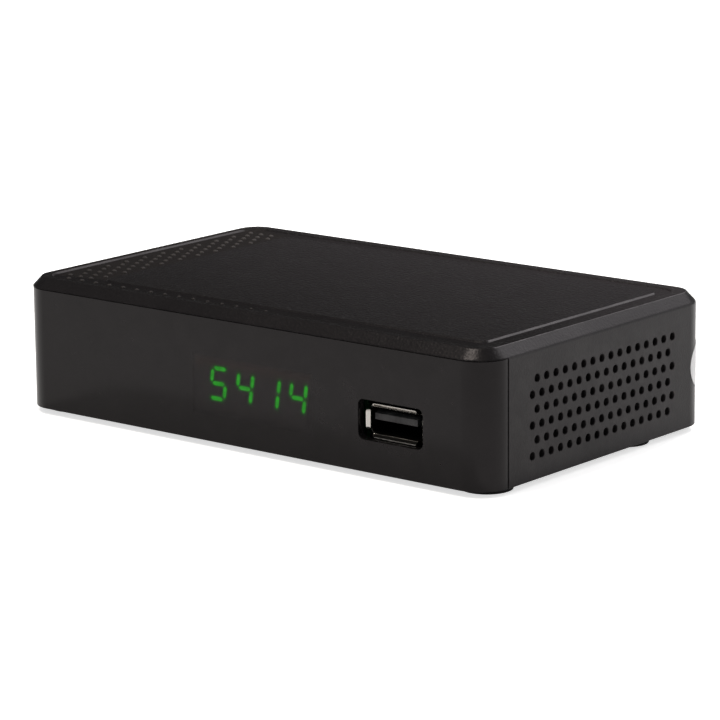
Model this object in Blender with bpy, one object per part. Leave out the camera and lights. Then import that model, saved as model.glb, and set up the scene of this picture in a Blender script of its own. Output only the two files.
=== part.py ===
# A small receiver for terrestrial television: a moulded case with vented sides, a wrapped
# front panel with a number display and a USB port, and aerial, HDMI, SCART and power sockets
# at the back. Metres, +Z up, front towards -Y, origin at the middle of the lowest plane.
import math

import bmesh
import bpy

# Case
case_width = 0.1211
case_depth = 0.0736
case_height = 0.0273
corner_radius = 0.0065
shell_wall = 0.0018
chamfer_inset = 0.0020
chamfer_drop = 0.0021

# Clearances
seat_gap = 0.0003
overrun = 0.0010

# Channel pressed into the top, wide on the left
rim_width = 0.0014
channel_depth = 0.0005
channel_left = 0.0134
channel_right = 0.0035
channel_front = 0.0043
channel_rear = 0.0035
plateau_radius = 0.0015

# Vents in both sides
vent_radius = 0.0008
vent_pitch = 0.0030
vent_rows = 6
vent_columns = 16
vent_front = 0.01425
vent_rear = 0.01285
vent_low = 0.0048

# Front panel
seam_setback = 0.0067
panel_inset = 0.00015
panel_drop = 0.00035
tongue_thickness = 0.0009
tongue_reach = 0.0012
tongue_root = 0.0030
tongue_low = 0.0042
tongue_height = 0.0170

# Base plate, its feet and its openings for air
base_thickness = 0.0020
foot_drop = 0.0012
foot_radius = 0.0045
foot_recess = 0.0008
foot_bevel = 0.00015
foot_inset = 0.0066
foot_front = 0.0086
foot_back = 0.0201
slot_length = 0.0150
slot_width = 0.0020
slot_pitch = 0.0060
slot_count = 6
slot_rows = 2
slot_row_pitch = 0.0240

# Screws above the feet, which hold the base plate to the shell
boss_radius = 0.0028
pad_radius = 0.0041
pad_height = 0.0014
case_screw_radius = 0.0011
case_screw_length = 0.0080
case_head_radius = 0.0024
case_head_height = 0.0010

# Main board and the screws that hold it
board_thickness = 0.0016
board_clearance = 0.00065
board_front = 0.0086
board_screw_inset = 0.0040
board_screw_front = 0.0180
board_screw_clearance = 0.0057
post_radius = 0.0025
board_screw_radius = 0.0010
board_screw_length = 0.0045
board_head_radius = 0.0021
board_head_height = 0.0012

# USB port
usb_share = 0.62015
usb_z = 0.0102
usb_bore_width = 0.0125
usb_bore_height = 0.00512
usb_wall = 0.00035
usb_setback = 0.0015
usb_depth = 0.0145
usb_back_wall = 0.0010
usb_lip = 0.0012
usb_lip_share = 0.8
usb_corner = 0.0006
aperture_width = 0.0157
aperture_height = 0.0078
aperture_rise = 0.0002
aperture_radius = 0.0012
usb_tongue_width = 0.0111
usb_tongue_height = 0.0018
usb_tongue_rise = 0.0009
usb_tongue_setback = 0.0007
usb_contact_width = 0.0010
usb_contact_height = 0.0003
usb_contact_length = 0.0080
usb_contact_setback = 0.0016
usb_contact_share = 0.22

# Number display and the board behind it
display_share = 0.0413
display_z = 0.0115
display_width = 0.0320
display_height = 0.0130
display_depth = 0.0048
window_skin = 0.0011
window_margin = 0.0006
digit_height = 0.0070
digit_width = 0.00355
digit_pitch = 0.0069
digit_count = 4
digit_lean = 0.0012
segment_width = 0.00105
segment_gap = 0.00012
segment_depth = 0.0002
display_board_thickness = 0.0012
display_board_inset = 0.0105
display_board_clearance = 0.00445
display_board_height = 0.0205
receiver_inset = 0.0090
receiver_width = 0.0056
receiver_height = 0.0070
receiver_body = 0.0022
receiver_dome = 0.0018
receiver_z = 0.0125
header_width = 0.0152
header_depth = 0.0026
header_height = 0.0084
header_inset = 0.0220

# Rear plate and the window that it closes
rear_plate_thickness = 0.0010
rear_window_side = 0.0070
rear_window_low = 0.0042
rear_window_high = 0.0231
rear_window_radius = 0.0015
plate_margin = 0.0009

# Aerial sockets and their tuner
socket_reach = 0.0080
aerial_z = 0.0138
aerial_in_share = 0.7184
aerial_out_share = 0.5120
aerial_in_radius_share = 0.04542
aerial_in_wall = 0.00075
aerial_out_radius_share = 0.03922
aerial_out_wall = 0.00065
aerial_bore_depth = 0.0085
insulator_thickness = 0.0020
contact_setback = 0.0006
contact_outer = 0.0018
contact_bore = 0.0012
contact_bore_depth = 0.0030
pin_radius = 0.0012
pin_taper = 0.0010
tuner_side_clearance = 0.0010
tuner_hdmi_clearance = 0.0007
tuner_length = 0.0170
tuner_height = 0.0125
tuner_lid_thickness = 0.0004
tuner_lid_inset = 0.0008
tuner_hole_radius = 0.0014
tuner_hole_share = 0.28

# HDMI socket
hdmi_share = 0.2775
hdmi_width_share = 0.12386
hdmi_height = 0.0057
hdmi_wall = 0.0004
hdmi_taper = 0.0018
hdmi_depth = 0.0115
hdmi_back_wall = 0.0010
hdmi_setback = 0.0004
hdmi_tongue_side = 0.0020
hdmi_tongue_height = 0.0013
hdmi_tongue_setback = 0.0010

# SCART socket
scart_share = -0.2642
scart_width_share = 0.39141
scart_height = 0.0152
scart_cut_x = 0.0040
scart_cut_z = 0.0060
scart_wall = 0.0012
scart_slot = 0.0015
scart_depth = 0.0150
scart_back_wall = 0.0015
scart_block_setback = 0.0004
contact_columns = 10
contact_pitch_share = 0.08017
contact_slot_width = 0.0012
contact_slot_height = 0.0032
contact_slot_depth = 0.0040
contact_row_rise = 0.0026

# Power socket
power_share = -0.7531
power_width_share = 0.07432
power_height = 0.0110
power_depth = 0.0110
power_wall = 0.0013
power_bore_depth = 0.0090
power_setback = 0.0006
power_rise = 0.0062
power_pin_radius = 0.0010
power_pin_length = 0.0075

# Pieces on the main board
soc_size = 0.0140
soc_height = 0.0012
soc_share = 0.0991
soc_setback_share = 0.4891
sink_size = 0.0200
sink_plate = 0.0015
sink_fin_height = 0.0060
sink_fin_count = 6
sink_fin_share = 0.45
memory_length = 0.0130
memory_width = 0.0080
memory_height = 0.0011
memory_clearance = 0.0060
flash_length = 0.0060
flash_width = 0.0050
flash_clearance = 0.0045
crystal_length = 0.0110
crystal_width = 0.0046
crystal_height = 0.0035
crystal_clearance = 0.0032
capacitor_radius = 0.0032
capacitor_height = 0.0090
capacitor_groove = 0.0003
capacitor_collar = 0.0012
capacitor_inset = 0.0105
capacitor_first_share = 0.3261
capacitor_pitch_share = 0.1155
capacitor_count = 4
coil_size = 0.0070
coil_height = 0.0036
coil_corner = 0.0012
coil_clearance = 0.0013
coil_first_share = 0.3804
coil_pitch_share = 0.1495
coil_count = 2

# How finely round shapes are divided
corner_steps = 6
small_steps = 2
vent_sides = 8
round_sides = 12
wide_sides = 18
smooth_angle = math.radians(40)

# Levels and planes that the pieces share
half_width = case_width / 2
front_y = -(case_depth + socket_reach) / 2
back_y = front_y + case_depth
base_z = foot_drop
top_z = base_z + case_height
chamfer_z = top_z - chamfer_drop
floor_z = base_z + base_thickness
ceiling_z = top_z - shell_wall
pad_z = floor_z + pad_height
head_seat = base_z + foot_recess + case_head_height + seat_gap
miter = shell_wall * math.tan(math.radians(22.5))
panel_wall = shell_wall - panel_inset
usb_centre_z = base_z + usb_z
usb_half_height = usb_bore_height / 2 + usb_wall
board_top = usb_centre_z - usb_half_height - seat_gap
board_bottom = board_top - board_thickness
plate_back = back_y - shell_wall - seat_gap
plate_front = plate_back - rear_plate_thickness
board_back = plate_front - seat_gap
board_front_y = front_y + board_front
display_face = front_y + panel_inset + window_skin + seat_gap
display_back = display_face + display_depth
display_board_y = display_back + seat_gap
display_board_back = display_board_y + display_board_thickness
mounted_z = board_top + seat_gap
board_half_width = half_width - foot_inset - boss_radius - board_clearance
board_screw_x = board_half_width - board_screw_inset
usb_x = half_width * usb_share
display_x = half_width * display_share
display_board_left = display_board_inset - board_half_width
display_board_right = usb_x - usb_bore_width / 2 - usb_wall - display_board_clearance
hdmi_x = half_width * hdmi_share
hdmi_width = case_width * hdmi_width_share
scart_x = half_width * scart_share
scart_width = case_width * scart_width_share
power_x = half_width * power_share
power_width = case_width * power_width_share
aerial_in_x = half_width * aerial_in_share
aerial_in_radius = case_width * aerial_in_radius_share
aerial_out_x = half_width * aerial_out_share
aerial_out_radius = case_width * aerial_out_radius_share
soc_x = half_width * soc_share
soc_setback = case_depth * soc_setback_share
capacitor_x = capacitor_inset - board_half_width
contact_length = aerial_bore_depth - contact_setback - insulator_thickness - 2 * seat_gap

colours = {
    "case black": ((0.020, 0.019, 0.020), 0.42, 0.0),
    "panel black": ((0.016, 0.015, 0.016), 0.25, 0.0),
    "rubber": ((0.018, 0.018, 0.018), 0.80, 0.0),
    "steel": ((0.62, 0.62, 0.61), 0.30, 1.0),
    "brass": ((0.78, 0.60, 0.30), 0.30, 1.0),
    "board green": ((0.02, 0.11, 0.05), 0.45, 0.0),
    "chip black": ((0.025, 0.025, 0.027), 0.50, 0.0),
    "light plastic": ((0.70, 0.69, 0.66), 0.45, 0.0),
    "aluminium": ((0.72, 0.72, 0.73), 0.35, 1.0),
    "ferrite": ((0.07, 0.07, 0.08), 0.60, 0.0),
    "sleeve blue": ((0.03, 0.05, 0.16), 0.40, 0.0),
}

for old in list(bpy.data.objects):
    bpy.data.objects.remove(old, do_unlink=True)


# Outlines and solids

def rounded_rectangle(x_low, x_high, y_low, y_high, radius, steps=corner_steps):
    corners = (
        (x_low + radius, y_low + radius, 180),
        (x_high - radius, y_low + radius, 270),
        (x_high - radius, y_high - radius, 0),
        (x_low + radius, y_high - radius, 90),
    )
    outline = []
    for centre_x, centre_y, start in corners:
        for step in range(steps + 1):
            angle = math.radians(start + 90 * step / steps)
            outline.append((centre_x + radius * math.cos(angle), centre_y + radius * math.sin(angle)))
    return outline


def case_outline(inset):
    side = half_width - inset
    return rounded_rectangle(-side, side, front_y + inset, back_y - inset, corner_radius - inset)


def circle(centre, radius, sides):
    points = []
    for side in range(sides):
        angle = 2 * math.pi * (side + 0.5) / sides
        points.append((centre[0] + radius * math.cos(angle), centre[1] + radius * math.sin(angle)))
    return points


def place(point, level, axis):
    if axis == "X":
        return (level, point[0], point[1])
    if axis == "Y":
        return (point[0], level, point[1])
    return (point[0], point[1], level)


def add_rings(shape, rings, loop=False):
    # Bridges equal rings of points; a loop joins the last ring to the first instead of capping.
    levels = [[shape.verts.new(point) for point in ring] for ring in rings]
    pairs = list(zip(levels, levels[1:]))
    if loop:
        pairs.append((levels[-1], levels[0]))
    faces = []
    for lower, upper in pairs:
        for index in range(len(lower)):
            following = (index + 1) % len(lower)
            faces.append(shape.faces.new((lower[index], lower[following], upper[following], upper[index])))
    if not loop:
        faces.append(shape.faces.new(list(reversed(levels[0]))))
        faces.append(shape.faces.new(levels[-1]))
    bmesh.ops.recalc_face_normals(shape, faces=faces)


def add_prism(shape, outline, start, stop, axis="Z"):
    rings = [[place(point, level, axis) for point in outline] for level in (start, stop)]
    add_rings(shape, rings)


def add_turned(shape, profile, centre, axis, sides, loop=False):
    # A profile is a list of radius and level; with loop it closes on itself, as a tube's does.
    rings = []
    for radius, level in profile:
        rings.append([place(point, level, axis) for point in circle(centre, radius, sides)])
    add_rings(shape, rings, loop)


def add_box(shape, x_low, x_high, y_low, y_high, z_low, z_high):
    outline = [(x_low, y_low), (x_high, y_low), (x_high, y_high), (x_low, y_high)]
    add_prism(shape, outline, z_low, z_high)


def make_object(name, shape):
    mesh = bpy.data.meshes.new(name)
    shape.to_mesh(mesh)
    shape.free()
    item = bpy.data.objects.new(name, mesh)
    bpy.context.scene.collection.objects.link(item)
    return item


def finish_object(name, shape, colour, smooth=True):
    item = make_object(name, shape)
    if smooth:
        item.data.shade_smooth()
        item.data.set_sharp_from_angle(angle=smooth_angle)
    finish = bpy.data.materials.new(name + " finish")
    finish.use_nodes = True
    base, roughness, metallic = colours[colour]
    surface = finish.node_tree.nodes["Principled BSDF"]
    surface.inputs["Base Color"].default_value = (*base, 1.0)
    surface.inputs["Roughness"].default_value = roughness
    surface.inputs["Metallic"].default_value = metallic
    item.data.materials.append(finish)
    return item


def combine(item, name, shape, operation):
    tool = make_object(name, shape)
    tool.hide_render = True
    tool.display_type = "WIRE"
    modifier = item.modifiers.new(name, "BOOLEAN")
    modifier.operation = operation
    modifier.solver = "EXACT"
    modifier.object = tool


def post_places():
    places = []
    for side in (-1, 1):
        for y in (front_y + board_screw_front, board_back - tuner_length - board_screw_clearance):
            places.append((side * board_screw_x, y))
    return places


def foot_places():
    places = {}
    for side, side_name in ((1, "right"), (-1, "left")):
        for y, end_name in ((front_y + foot_front, "front"), (back_y - foot_back, "rear")):
            places["foot_" + end_name + "_" + side_name] = (side * (half_width - foot_inset), y)
    return places


# Case

def shell_block(inset, low):
    # The outer or inner form of the shell, upright to the chamfer and then drawn in.
    share = inset / shell_wall
    shape = bmesh.new()
    rings = []
    for ring_inset, level in (
        (inset, low),
        (inset, chamfer_z - share * miter),
        (inset + chamfer_inset - share * (shell_wall - miter), top_z - inset),
    ):
        rings.append([(*point, level) for point in case_outline(ring_inset)])
    add_rings(shape, rings)
    return shape


def plateau_edges():
    outer = chamfer_inset + rim_width
    return (
        -half_width + outer + channel_left,
        half_width - outer - channel_right,
        front_y + outer + channel_front,
        back_y - outer - channel_rear,
    )


def channel_tool():
    # A frame-shaped cutter between the rim and the plateau.
    outer = case_outline(chamfer_inset + rim_width)
    inner = rounded_rectangle(*plateau_edges(), plateau_radius)
    low = top_z - channel_depth
    high = top_z + overrun
    shape = bmesh.new()
    rings = []
    for outline, level in ((outer, low), (outer, high), (inner, high), (inner, low)):
        rings.append([(*point, level) for point in outline])
    add_rings(shape, rings, loop=True)
    return shape


def vent_tool():
    # Staggered rows of holes through both sides.
    shape = bmesh.new()
    step = (case_depth - vent_front - vent_rear) / (vent_columns - 0.5)
    for side in (-1, 1):
        for row in range(vent_rows):
            shift = step / 2 if row % 2 else 0
            for column in range(vent_columns):
                centre = (
                    front_y + vent_front + shift + column * step,
                    base_z + vent_low + row * vent_pitch,
                )
                ends = sorted((side * (half_width + overrun), side * (half_width - shell_wall - overrun / 2)))
                add_prism(shape, circle(centre, vent_radius, vent_sides), *ends, "X")
    return shape


def build_shell():
    shell = finish_object("top_shell", shell_block(0, base_z), "case black")
    combine(shell, "shell_hollow", shell_block(shell_wall, base_z - overrun), "DIFFERENCE")

    bosses = bmesh.new()
    for centre in foot_places().values():
        profile = [(boss_radius, pad_z + seat_gap), (boss_radius, ceiling_z + shell_wall / 2)]
        add_turned(bosses, profile, centre, "Z", round_sides)
    combine(shell, "shell_bosses", bosses, "UNION")

    pilots = bmesh.new()
    for centre in foot_places().values():
        radius = case_screw_radius + seat_gap
        reach = head_seat + case_screw_length + seat_gap
        add_turned(pilots, [(radius, base_z), (radius, reach)], centre, "Z", round_sides)
    combine(shell, "boss_pilots", pilots, "DIFFERENCE")

    front = bmesh.new()
    add_box(front, -half_width - overrun, half_width + overrun, front_y - overrun,
            front_y + seam_setback, base_z - overrun, chamfer_z)
    combine(shell, "front_opening", front, "DIFFERENCE")

    rear = bmesh.new()
    window = rear_window(0)
    add_prism(rear, window, plate_back, back_y + overrun, "Y")
    combine(shell, "rear_opening", rear, "DIFFERENCE")

    combine(shell, "top_channel", channel_tool(), "DIFFERENCE")
    combine(shell, "side_vents", vent_tool(), "DIFFERENCE")


def rear_window(margin):
    side = half_width - rear_window_side + margin
    low = base_z + rear_window_low - margin
    high = base_z + rear_window_high + margin
    return rounded_rectangle(-side, side, low, high, rear_window_radius, small_steps)


def add_segment(shape, start, stop, level_low, level_high):
    # One bar of a digit, with pointed ends, leaning with the digit.
    along = (stop[0] - start[0], stop[1] - start[1])
    length = math.hypot(*along)
    unit = (along[0] / length, along[1] / length)
    side = (-unit[1], unit[0])
    half = segment_width / 2
    outline = []
    for reach, offset in (
        (segment_gap, 0),
        (segment_gap + half, -half),
        (length - segment_gap - half, -half),
        (length - segment_gap, 0),
        (length - segment_gap - half, half),
        (segment_gap + half, half),
    ):
        x = start[0] + unit[0] * reach + side[0] * offset
        z = start[1] + unit[1] * reach + side[1] * offset
        outline.append((x, z))
    add_prism(shape, outline, level_low, level_high, "Y")


def segment_ends():
    # The two ends of each of the seven bars of a digit, from its own middle.
    half = digit_width / 2
    tall = (digit_height - segment_width) / 2
    corners = {}
    for row in (-1, 0, 1):
        for column in (-1, 1):
            corners[(column, row)] = (column * half + row * digit_lean / 2, row * tall)
    pairs = (
        ((-1, 1), (1, 1)), ((1, 0), (1, 1)), ((1, -1), (1, 0)), ((-1, -1), (1, -1)),
        ((-1, -1), (-1, 0)), ((-1, 0), (-1, 1)), ((-1, 0), (1, 0)),
    )
    return [(corners[first], corners[second]) for first, second in pairs]


def build_panel():
    # The case's own outline, hollowed and cut off at the seam, so that it wraps both corners.
    shape = bmesh.new()
    add_prism(shape, case_outline(panel_inset), base_z, chamfer_z - panel_drop)
    panel = finish_object("front_panel", shape, "panel black")
    hollow = bmesh.new()
    add_prism(hollow, case_outline(shell_wall), base_z - overrun, top_z)
    combine(panel, "panel_hollow", hollow, "DIFFERENCE")
    behind = bmesh.new()
    add_box(behind, -case_width, case_width, front_y + seam_setback - seat_gap, back_y + overrun,
            base_z - overrun, top_z)
    combine(panel, "panel_behind", behind, "DIFFERENCE")

    tongues = bmesh.new()
    inner = shell_wall + seat_gap
    root = shell_wall - panel_wall / 2
    for side in (-1, 1):
        outline = [
            (side * (half_width - root), front_y + tongue_root),
            (side * (half_width - inner - tongue_thickness), front_y + tongue_root),
            (side * (half_width - inner - tongue_thickness), front_y + seam_setback + tongue_reach),
            (side * (half_width - inner), front_y + seam_setback + tongue_reach),
            (side * (half_width - inner), front_y + seam_setback - 2 * seat_gap),
            (side * (half_width - root), front_y + seam_setback - 2 * seat_gap),
        ]
        low = base_z + tongue_low
        add_prism(tongues, outline, low, low + tongue_height)
    combine(panel, "panel_tongues", tongues, "UNION")

    aperture = bmesh.new()
    middle = usb_centre_z + aperture_rise
    outline = rounded_rectangle(usb_x - aperture_width / 2, usb_x + aperture_width / 2,
                                middle - aperture_height / 2, middle + aperture_height / 2,
                                aperture_radius, small_steps)
    add_prism(aperture, outline, front_y - overrun, front_y + shell_wall + overrun, "Y")
    combine(panel, "usb_aperture", aperture, "DIFFERENCE")

    window = bmesh.new()
    half = display_width / 2 + window_margin
    add_box(window, display_x - half, display_x + half,
            front_y + panel_inset + window_skin, front_y + shell_wall + overrun,
            base_z + display_z - display_height / 2 - window_margin,
            base_z + display_z + display_height / 2 + window_margin)
    combine(panel, "display_window", window, "DIFFERENCE")


def build_base():
    inset = shell_wall + seat_gap
    shape = bmesh.new()
    add_prism(shape, case_outline(inset), base_z, floor_z)
    base = finish_object("base_plate", shape, "case black")

    posts = bmesh.new()
    for centre in post_places():
        profile = [(post_radius, floor_z - base_thickness / 2), (post_radius, board_bottom - seat_gap)]
        add_turned(posts, profile, centre, "Z", round_sides)
    for centre in foot_places().values():
        profile = [(pad_radius, floor_z - base_thickness / 2), (pad_radius, pad_z)]
        add_turned(posts, profile, centre, "Z", wide_sides)
    combine(base, "board_posts", posts, "UNION")

    holes = bmesh.new()
    for centre in post_places():
        radius = board_screw_radius + seat_gap
        profile = [(radius, board_top - board_screw_length - seat_gap), (radius, board_top)]
        add_turned(holes, profile, centre, "Z", round_sides)
    for centre in foot_places().values():
        foot = foot_radius + seat_gap
        head = case_head_radius + seat_gap
        shank = case_screw_radius + seat_gap
        recess_z = base_z + foot_recess
        profile = [(foot, base_z - overrun), (foot, recess_z), (head, recess_z), (head, head_seat),
                   (shank, head_seat), (shank, pad_z + overrun)]
        add_turned(holes, profile, centre, "Z", wide_sides)
    combine(base, "base_holes", holes, "DIFFERENCE")

    slots = bmesh.new()
    middle = (front_y + back_y) / 2
    for row in range(slot_rows):
        y = middle + (row - (slot_rows - 1) / 2) * slot_row_pitch
        for index in range(slot_count):
            x = (index - (slot_count - 1) / 2) * slot_pitch
            outline = rounded_rectangle(x - slot_width / 2, x + slot_width / 2, y - slot_length / 2,
                                        y + slot_length / 2, slot_width / 2, small_steps)
            add_prism(slots, outline, base_z - overrun, floor_z + overrun)
    combine(base, "base_slots", slots, "DIFFERENCE")


def build_feet():
    for name, centre in foot_places().items():
        shape = bmesh.new()
        profile = [
            (foot_radius - foot_bevel, 0),
            (foot_radius, foot_bevel),
            (foot_radius, base_z + foot_recess - seat_gap),
        ]
        add_turned(shape, profile, centre, "Z", wide_sides)
        finish_object(name, shape, "rubber")


def add_screw(name, centre, seat, head_radius, head_height, shank_radius, length, upwards):
    # The head lies on its seat and the shank points up or down from there.
    direction = 1 if upwards else -1
    shape = bmesh.new()
    profile = [
        (head_radius, seat - direction * head_height),
        (head_radius, seat),
        (shank_radius, seat),
        (shank_radius, seat + direction * length),
    ]
    add_turned(shape, profile, centre, "Z", round_sides)
    finish_object(name, shape, "steel")


def build_case_screws():
    for index, centre in enumerate(foot_places().values()):
        add_screw("case_screw_%d" % (index + 1), centre, head_seat - seat_gap, case_head_radius,
                  case_head_height, case_screw_radius, case_screw_length, True)


# Boards

def build_main_board():
    shape = bmesh.new()
    add_box(shape, -board_half_width, board_half_width, board_front_y, board_back, board_bottom, board_top)
    board = finish_object("main_board", shape, "board green")
    holes = bmesh.new()
    for centre in post_places():
        radius = board_screw_radius + seat_gap
        add_turned(holes, [(radius, board_bottom - overrun), (radius, board_top + overrun)], centre, "Z",
                   round_sides)
    combine(board, "board_holes", holes, "DIFFERENCE")
    for index, centre in enumerate(post_places()):
        add_screw("board_screw_%d" % (index + 1), centre, mounted_z, board_head_radius, board_head_height,
                  board_screw_radius, board_screw_length, False)


def build_display():
    shape = bmesh.new()
    low = base_z + display_z - display_height / 2
    add_box(shape, display_x - display_width / 2, display_x + display_width / 2, display_face, display_back,
            low, low + display_height)
    display = finish_object("number_display", shape, "chip black", smooth=False)
    bars = bmesh.new()
    for index in range(digit_count):
        x = display_x + (index - (digit_count - 1) / 2) * digit_pitch
        for start, stop in segment_ends():
            add_segment(bars, (x + start[0], base_z + display_z + start[1]),
                        (x + stop[0], base_z + display_z + stop[1]),
                        display_face - overrun, display_face + segment_depth)
    combine(display, "digit_bars", bars, "DIFFERENCE")

    board = bmesh.new()
    add_box(board, display_board_left, display_board_right, display_board_y, display_board_back,
            floor_z + seat_gap, floor_z + seat_gap + display_board_height)
    finish_object("display_board", board, "board green", smooth=False)


def build_receiver():
    # The remote control's sensor, with its lens towards the panel.
    back = display_board_y - seat_gap
    face = back - receiver_body
    receiver_x = display_board_left + receiver_inset
    outline = [(receiver_x - receiver_width / 2, back), (receiver_x - receiver_width / 2, face)]
    for step in range(1, round_sides // 2):
        angle = math.pi * (1 + step / (round_sides // 2))
        outline.append((receiver_x + receiver_dome * math.cos(angle),
                        face + receiver_dome * math.sin(angle) / 2))
    outline += [(receiver_x + receiver_width / 2, face), (receiver_x + receiver_width / 2, back)]
    shape = bmesh.new()
    low = base_z + receiver_z - receiver_height / 2
    add_prism(shape, outline, low, low + receiver_height)
    finish_object("remote_sensor", shape, "chip black")

    header = bmesh.new()
    start = display_board_back + seat_gap
    header_x = display_board_left + header_inset
    add_box(header, header_x - header_width / 2, header_x + header_width / 2, start, start + header_depth,
            mounted_z, mounted_z + header_height)
    finish_object("board_header", header, "chip black", smooth=False)


# USB port

def build_usb():
    mouth = front_y + usb_setback
    back = mouth + usb_depth
    half_bore = usb_bore_width / 2
    half_high = usb_bore_height / 2
    across = half_bore + usb_wall
    upright = half_high + usb_wall
    outline = rounded_rectangle(usb_x - across, usb_x + across, usb_centre_z - upright, usb_centre_z + upright,
                                usb_corner, small_steps)
    shape = bmesh.new()
    add_prism(shape, outline, mouth, back, "Y")
    can = finish_object("usb_shell", shape, "steel")

    lips = bmesh.new()
    flare = usb_lip * usb_lip_share
    deep = mouth + usb_lip
    across = half_bore * usb_lip_share
    upright = half_high * usb_lip_share
    for sign in (-1, 1):
        edge = usb_centre_z + sign * half_high
        tip = edge + sign * flare
        add_prism(lips, [(mouth, edge), (mouth, tip), (mouth + usb_wall, tip), (deep, edge + sign * usb_wall),
                         (deep, edge)], usb_x - across, usb_x + across, "X")
        side = usb_x + sign * half_bore
        tip = side + sign * flare
        add_prism(lips, [(side, mouth), (tip, mouth), (tip, mouth + usb_wall), (side + sign * usb_wall, deep),
                         (side, deep)], usb_centre_z - upright, usb_centre_z + upright)
    combine(can, "usb_lips", lips, "UNION")

    bore = bmesh.new()
    add_box(bore, usb_x - half_bore, usb_x + half_bore, mouth - overrun, back - usb_back_wall,
            usb_centre_z - half_high, usb_centre_z + half_high)
    combine(can, "usb_bore", bore, "DIFFERENCE")

    tongue = bmesh.new()
    low = usb_centre_z + usb_tongue_rise - usb_tongue_height / 2
    add_box(tongue, usb_x - usb_tongue_width / 2, usb_x + usb_tongue_width / 2, mouth + usb_tongue_setback,
            back - usb_back_wall - seat_gap, low, low + usb_tongue_height)
    finish_object("usb_tongue", tongue, "chip black", smooth=False)

    start = mouth + usb_tongue_setback + usb_contact_setback
    for index in range(4):
        x = usb_x + (index - 1.5) * usb_bore_width * usb_contact_share
        contact = bmesh.new()
        add_box(contact, x - usb_contact_width / 2, x + usb_contact_width / 2, start,
                start + usb_contact_length, low - seat_gap - usb_contact_height, low - seat_gap)
        finish_object("usb_contact_%d" % (index + 1), contact, "brass", smooth=False)


# Rear sockets

def build_aerial_socket(name, x, radius, bore, centre_piece):
    start = board_back + seat_gap
    stop = back_y + socket_reach
    floor = stop - aerial_bore_depth
    middle = (x, base_z + aerial_z)
    shape = bmesh.new()
    profile = [(radius, start), (radius, stop), (bore, stop), (bore, floor)]
    add_turned(shape, profile, middle, "Y", wide_sides)
    finish_object(name + "_barrel", shape, "steel")

    insulator = bmesh.new()
    seat = floor + seat_gap
    profile = [(bore - seat_gap, seat), (bore - seat_gap, seat + insulator_thickness)]
    add_turned(insulator, profile, middle, "Y", wide_sides)
    finish_object(name + "_insulator", insulator, "light plastic")

    centre = bmesh.new()
    root = seat + insulator_thickness + seat_gap
    add_turned(centre, [(point_radius, root + level) for point_radius, level in centre_piece], middle, "Y",
               round_sides)
    finish_object(name + "_contact", centre, "brass")


def build_tuner():
    left = hdmi_x + hdmi_width / 2 + tuner_hdmi_clearance
    right = board_half_width - tuner_side_clearance
    back = board_back
    shape = bmesh.new()
    add_box(shape, left, right, back - tuner_length, back,
            mounted_z, mounted_z + tuner_height)
    finish_object("tuner_can", shape, "steel", smooth=False)

    low = mounted_z + tuner_height + seat_gap
    lid = bmesh.new()
    add_box(lid, left + tuner_lid_inset, right - tuner_lid_inset,
            back - tuner_length + tuner_lid_inset, back - tuner_lid_inset, low, low + tuner_lid_thickness)
    lid_object = finish_object("tuner_lid", lid, "steel", smooth=False)
    holes = bmesh.new()
    for side in (-1, 1):
        for end in (-1, 1):
            centre = ((left + right) / 2 + side * (right - left) * tuner_hole_share,
                      back - tuner_length / 2 + end * tuner_length * tuner_hole_share)
            profile = [(tuner_hole_radius, low - overrun), (tuner_hole_radius, low + overrun)]
            add_turned(holes, profile, centre, "Z", round_sides)
    combine(lid_object, "tuner_lid_holes", holes, "DIFFERENCE")


def hdmi_outline(inset):
    half = hdmi_width / 2 - inset
    low = mounted_z + inset
    high = mounted_z + hdmi_height - inset
    taper = hdmi_taper - inset / 2
    return [
        (hdmi_x - half + taper, low), (hdmi_x + half - taper, low), (hdmi_x + half, low + taper),
        (hdmi_x + half, high), (hdmi_x - half, high), (hdmi_x - half, low + taper),
    ]


def build_hdmi():
    mouth = back_y - hdmi_setback
    inner = mouth - hdmi_depth
    shape = bmesh.new()
    add_prism(shape, hdmi_outline(0), inner, mouth, "Y")
    shell = finish_object("hdmi_shell", shape, "steel", smooth=False)
    bore = bmesh.new()
    add_prism(bore, hdmi_outline(hdmi_wall), inner + hdmi_back_wall, mouth + overrun, "Y")
    combine(shell, "hdmi_bore", bore, "DIFFERENCE")

    tongue = bmesh.new()
    middle = mounted_z + hdmi_height / 2
    half = hdmi_width / 2 - hdmi_tongue_side
    add_box(tongue, hdmi_x - half, hdmi_x + half,
            inner + hdmi_back_wall + seat_gap, mouth - hdmi_tongue_setback,
            middle - hdmi_tongue_height / 2, middle + hdmi_tongue_height / 2)
    finish_object("hdmi_tongue", tongue, "chip black", smooth=False)


def scart_outline(inset):
    # A long rectangle with one lower corner cut away, as seen from behind.
    half = scart_width / 2 - inset
    low = mounted_z + inset
    high = mounted_z + scart_height - inset
    return [
        (scart_x - half, low), (scart_x + half - scart_cut_x, low), (scart_x + half, low + scart_cut_z),
        (scart_x + half, high), (scart_x - half, high),
    ]


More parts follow.
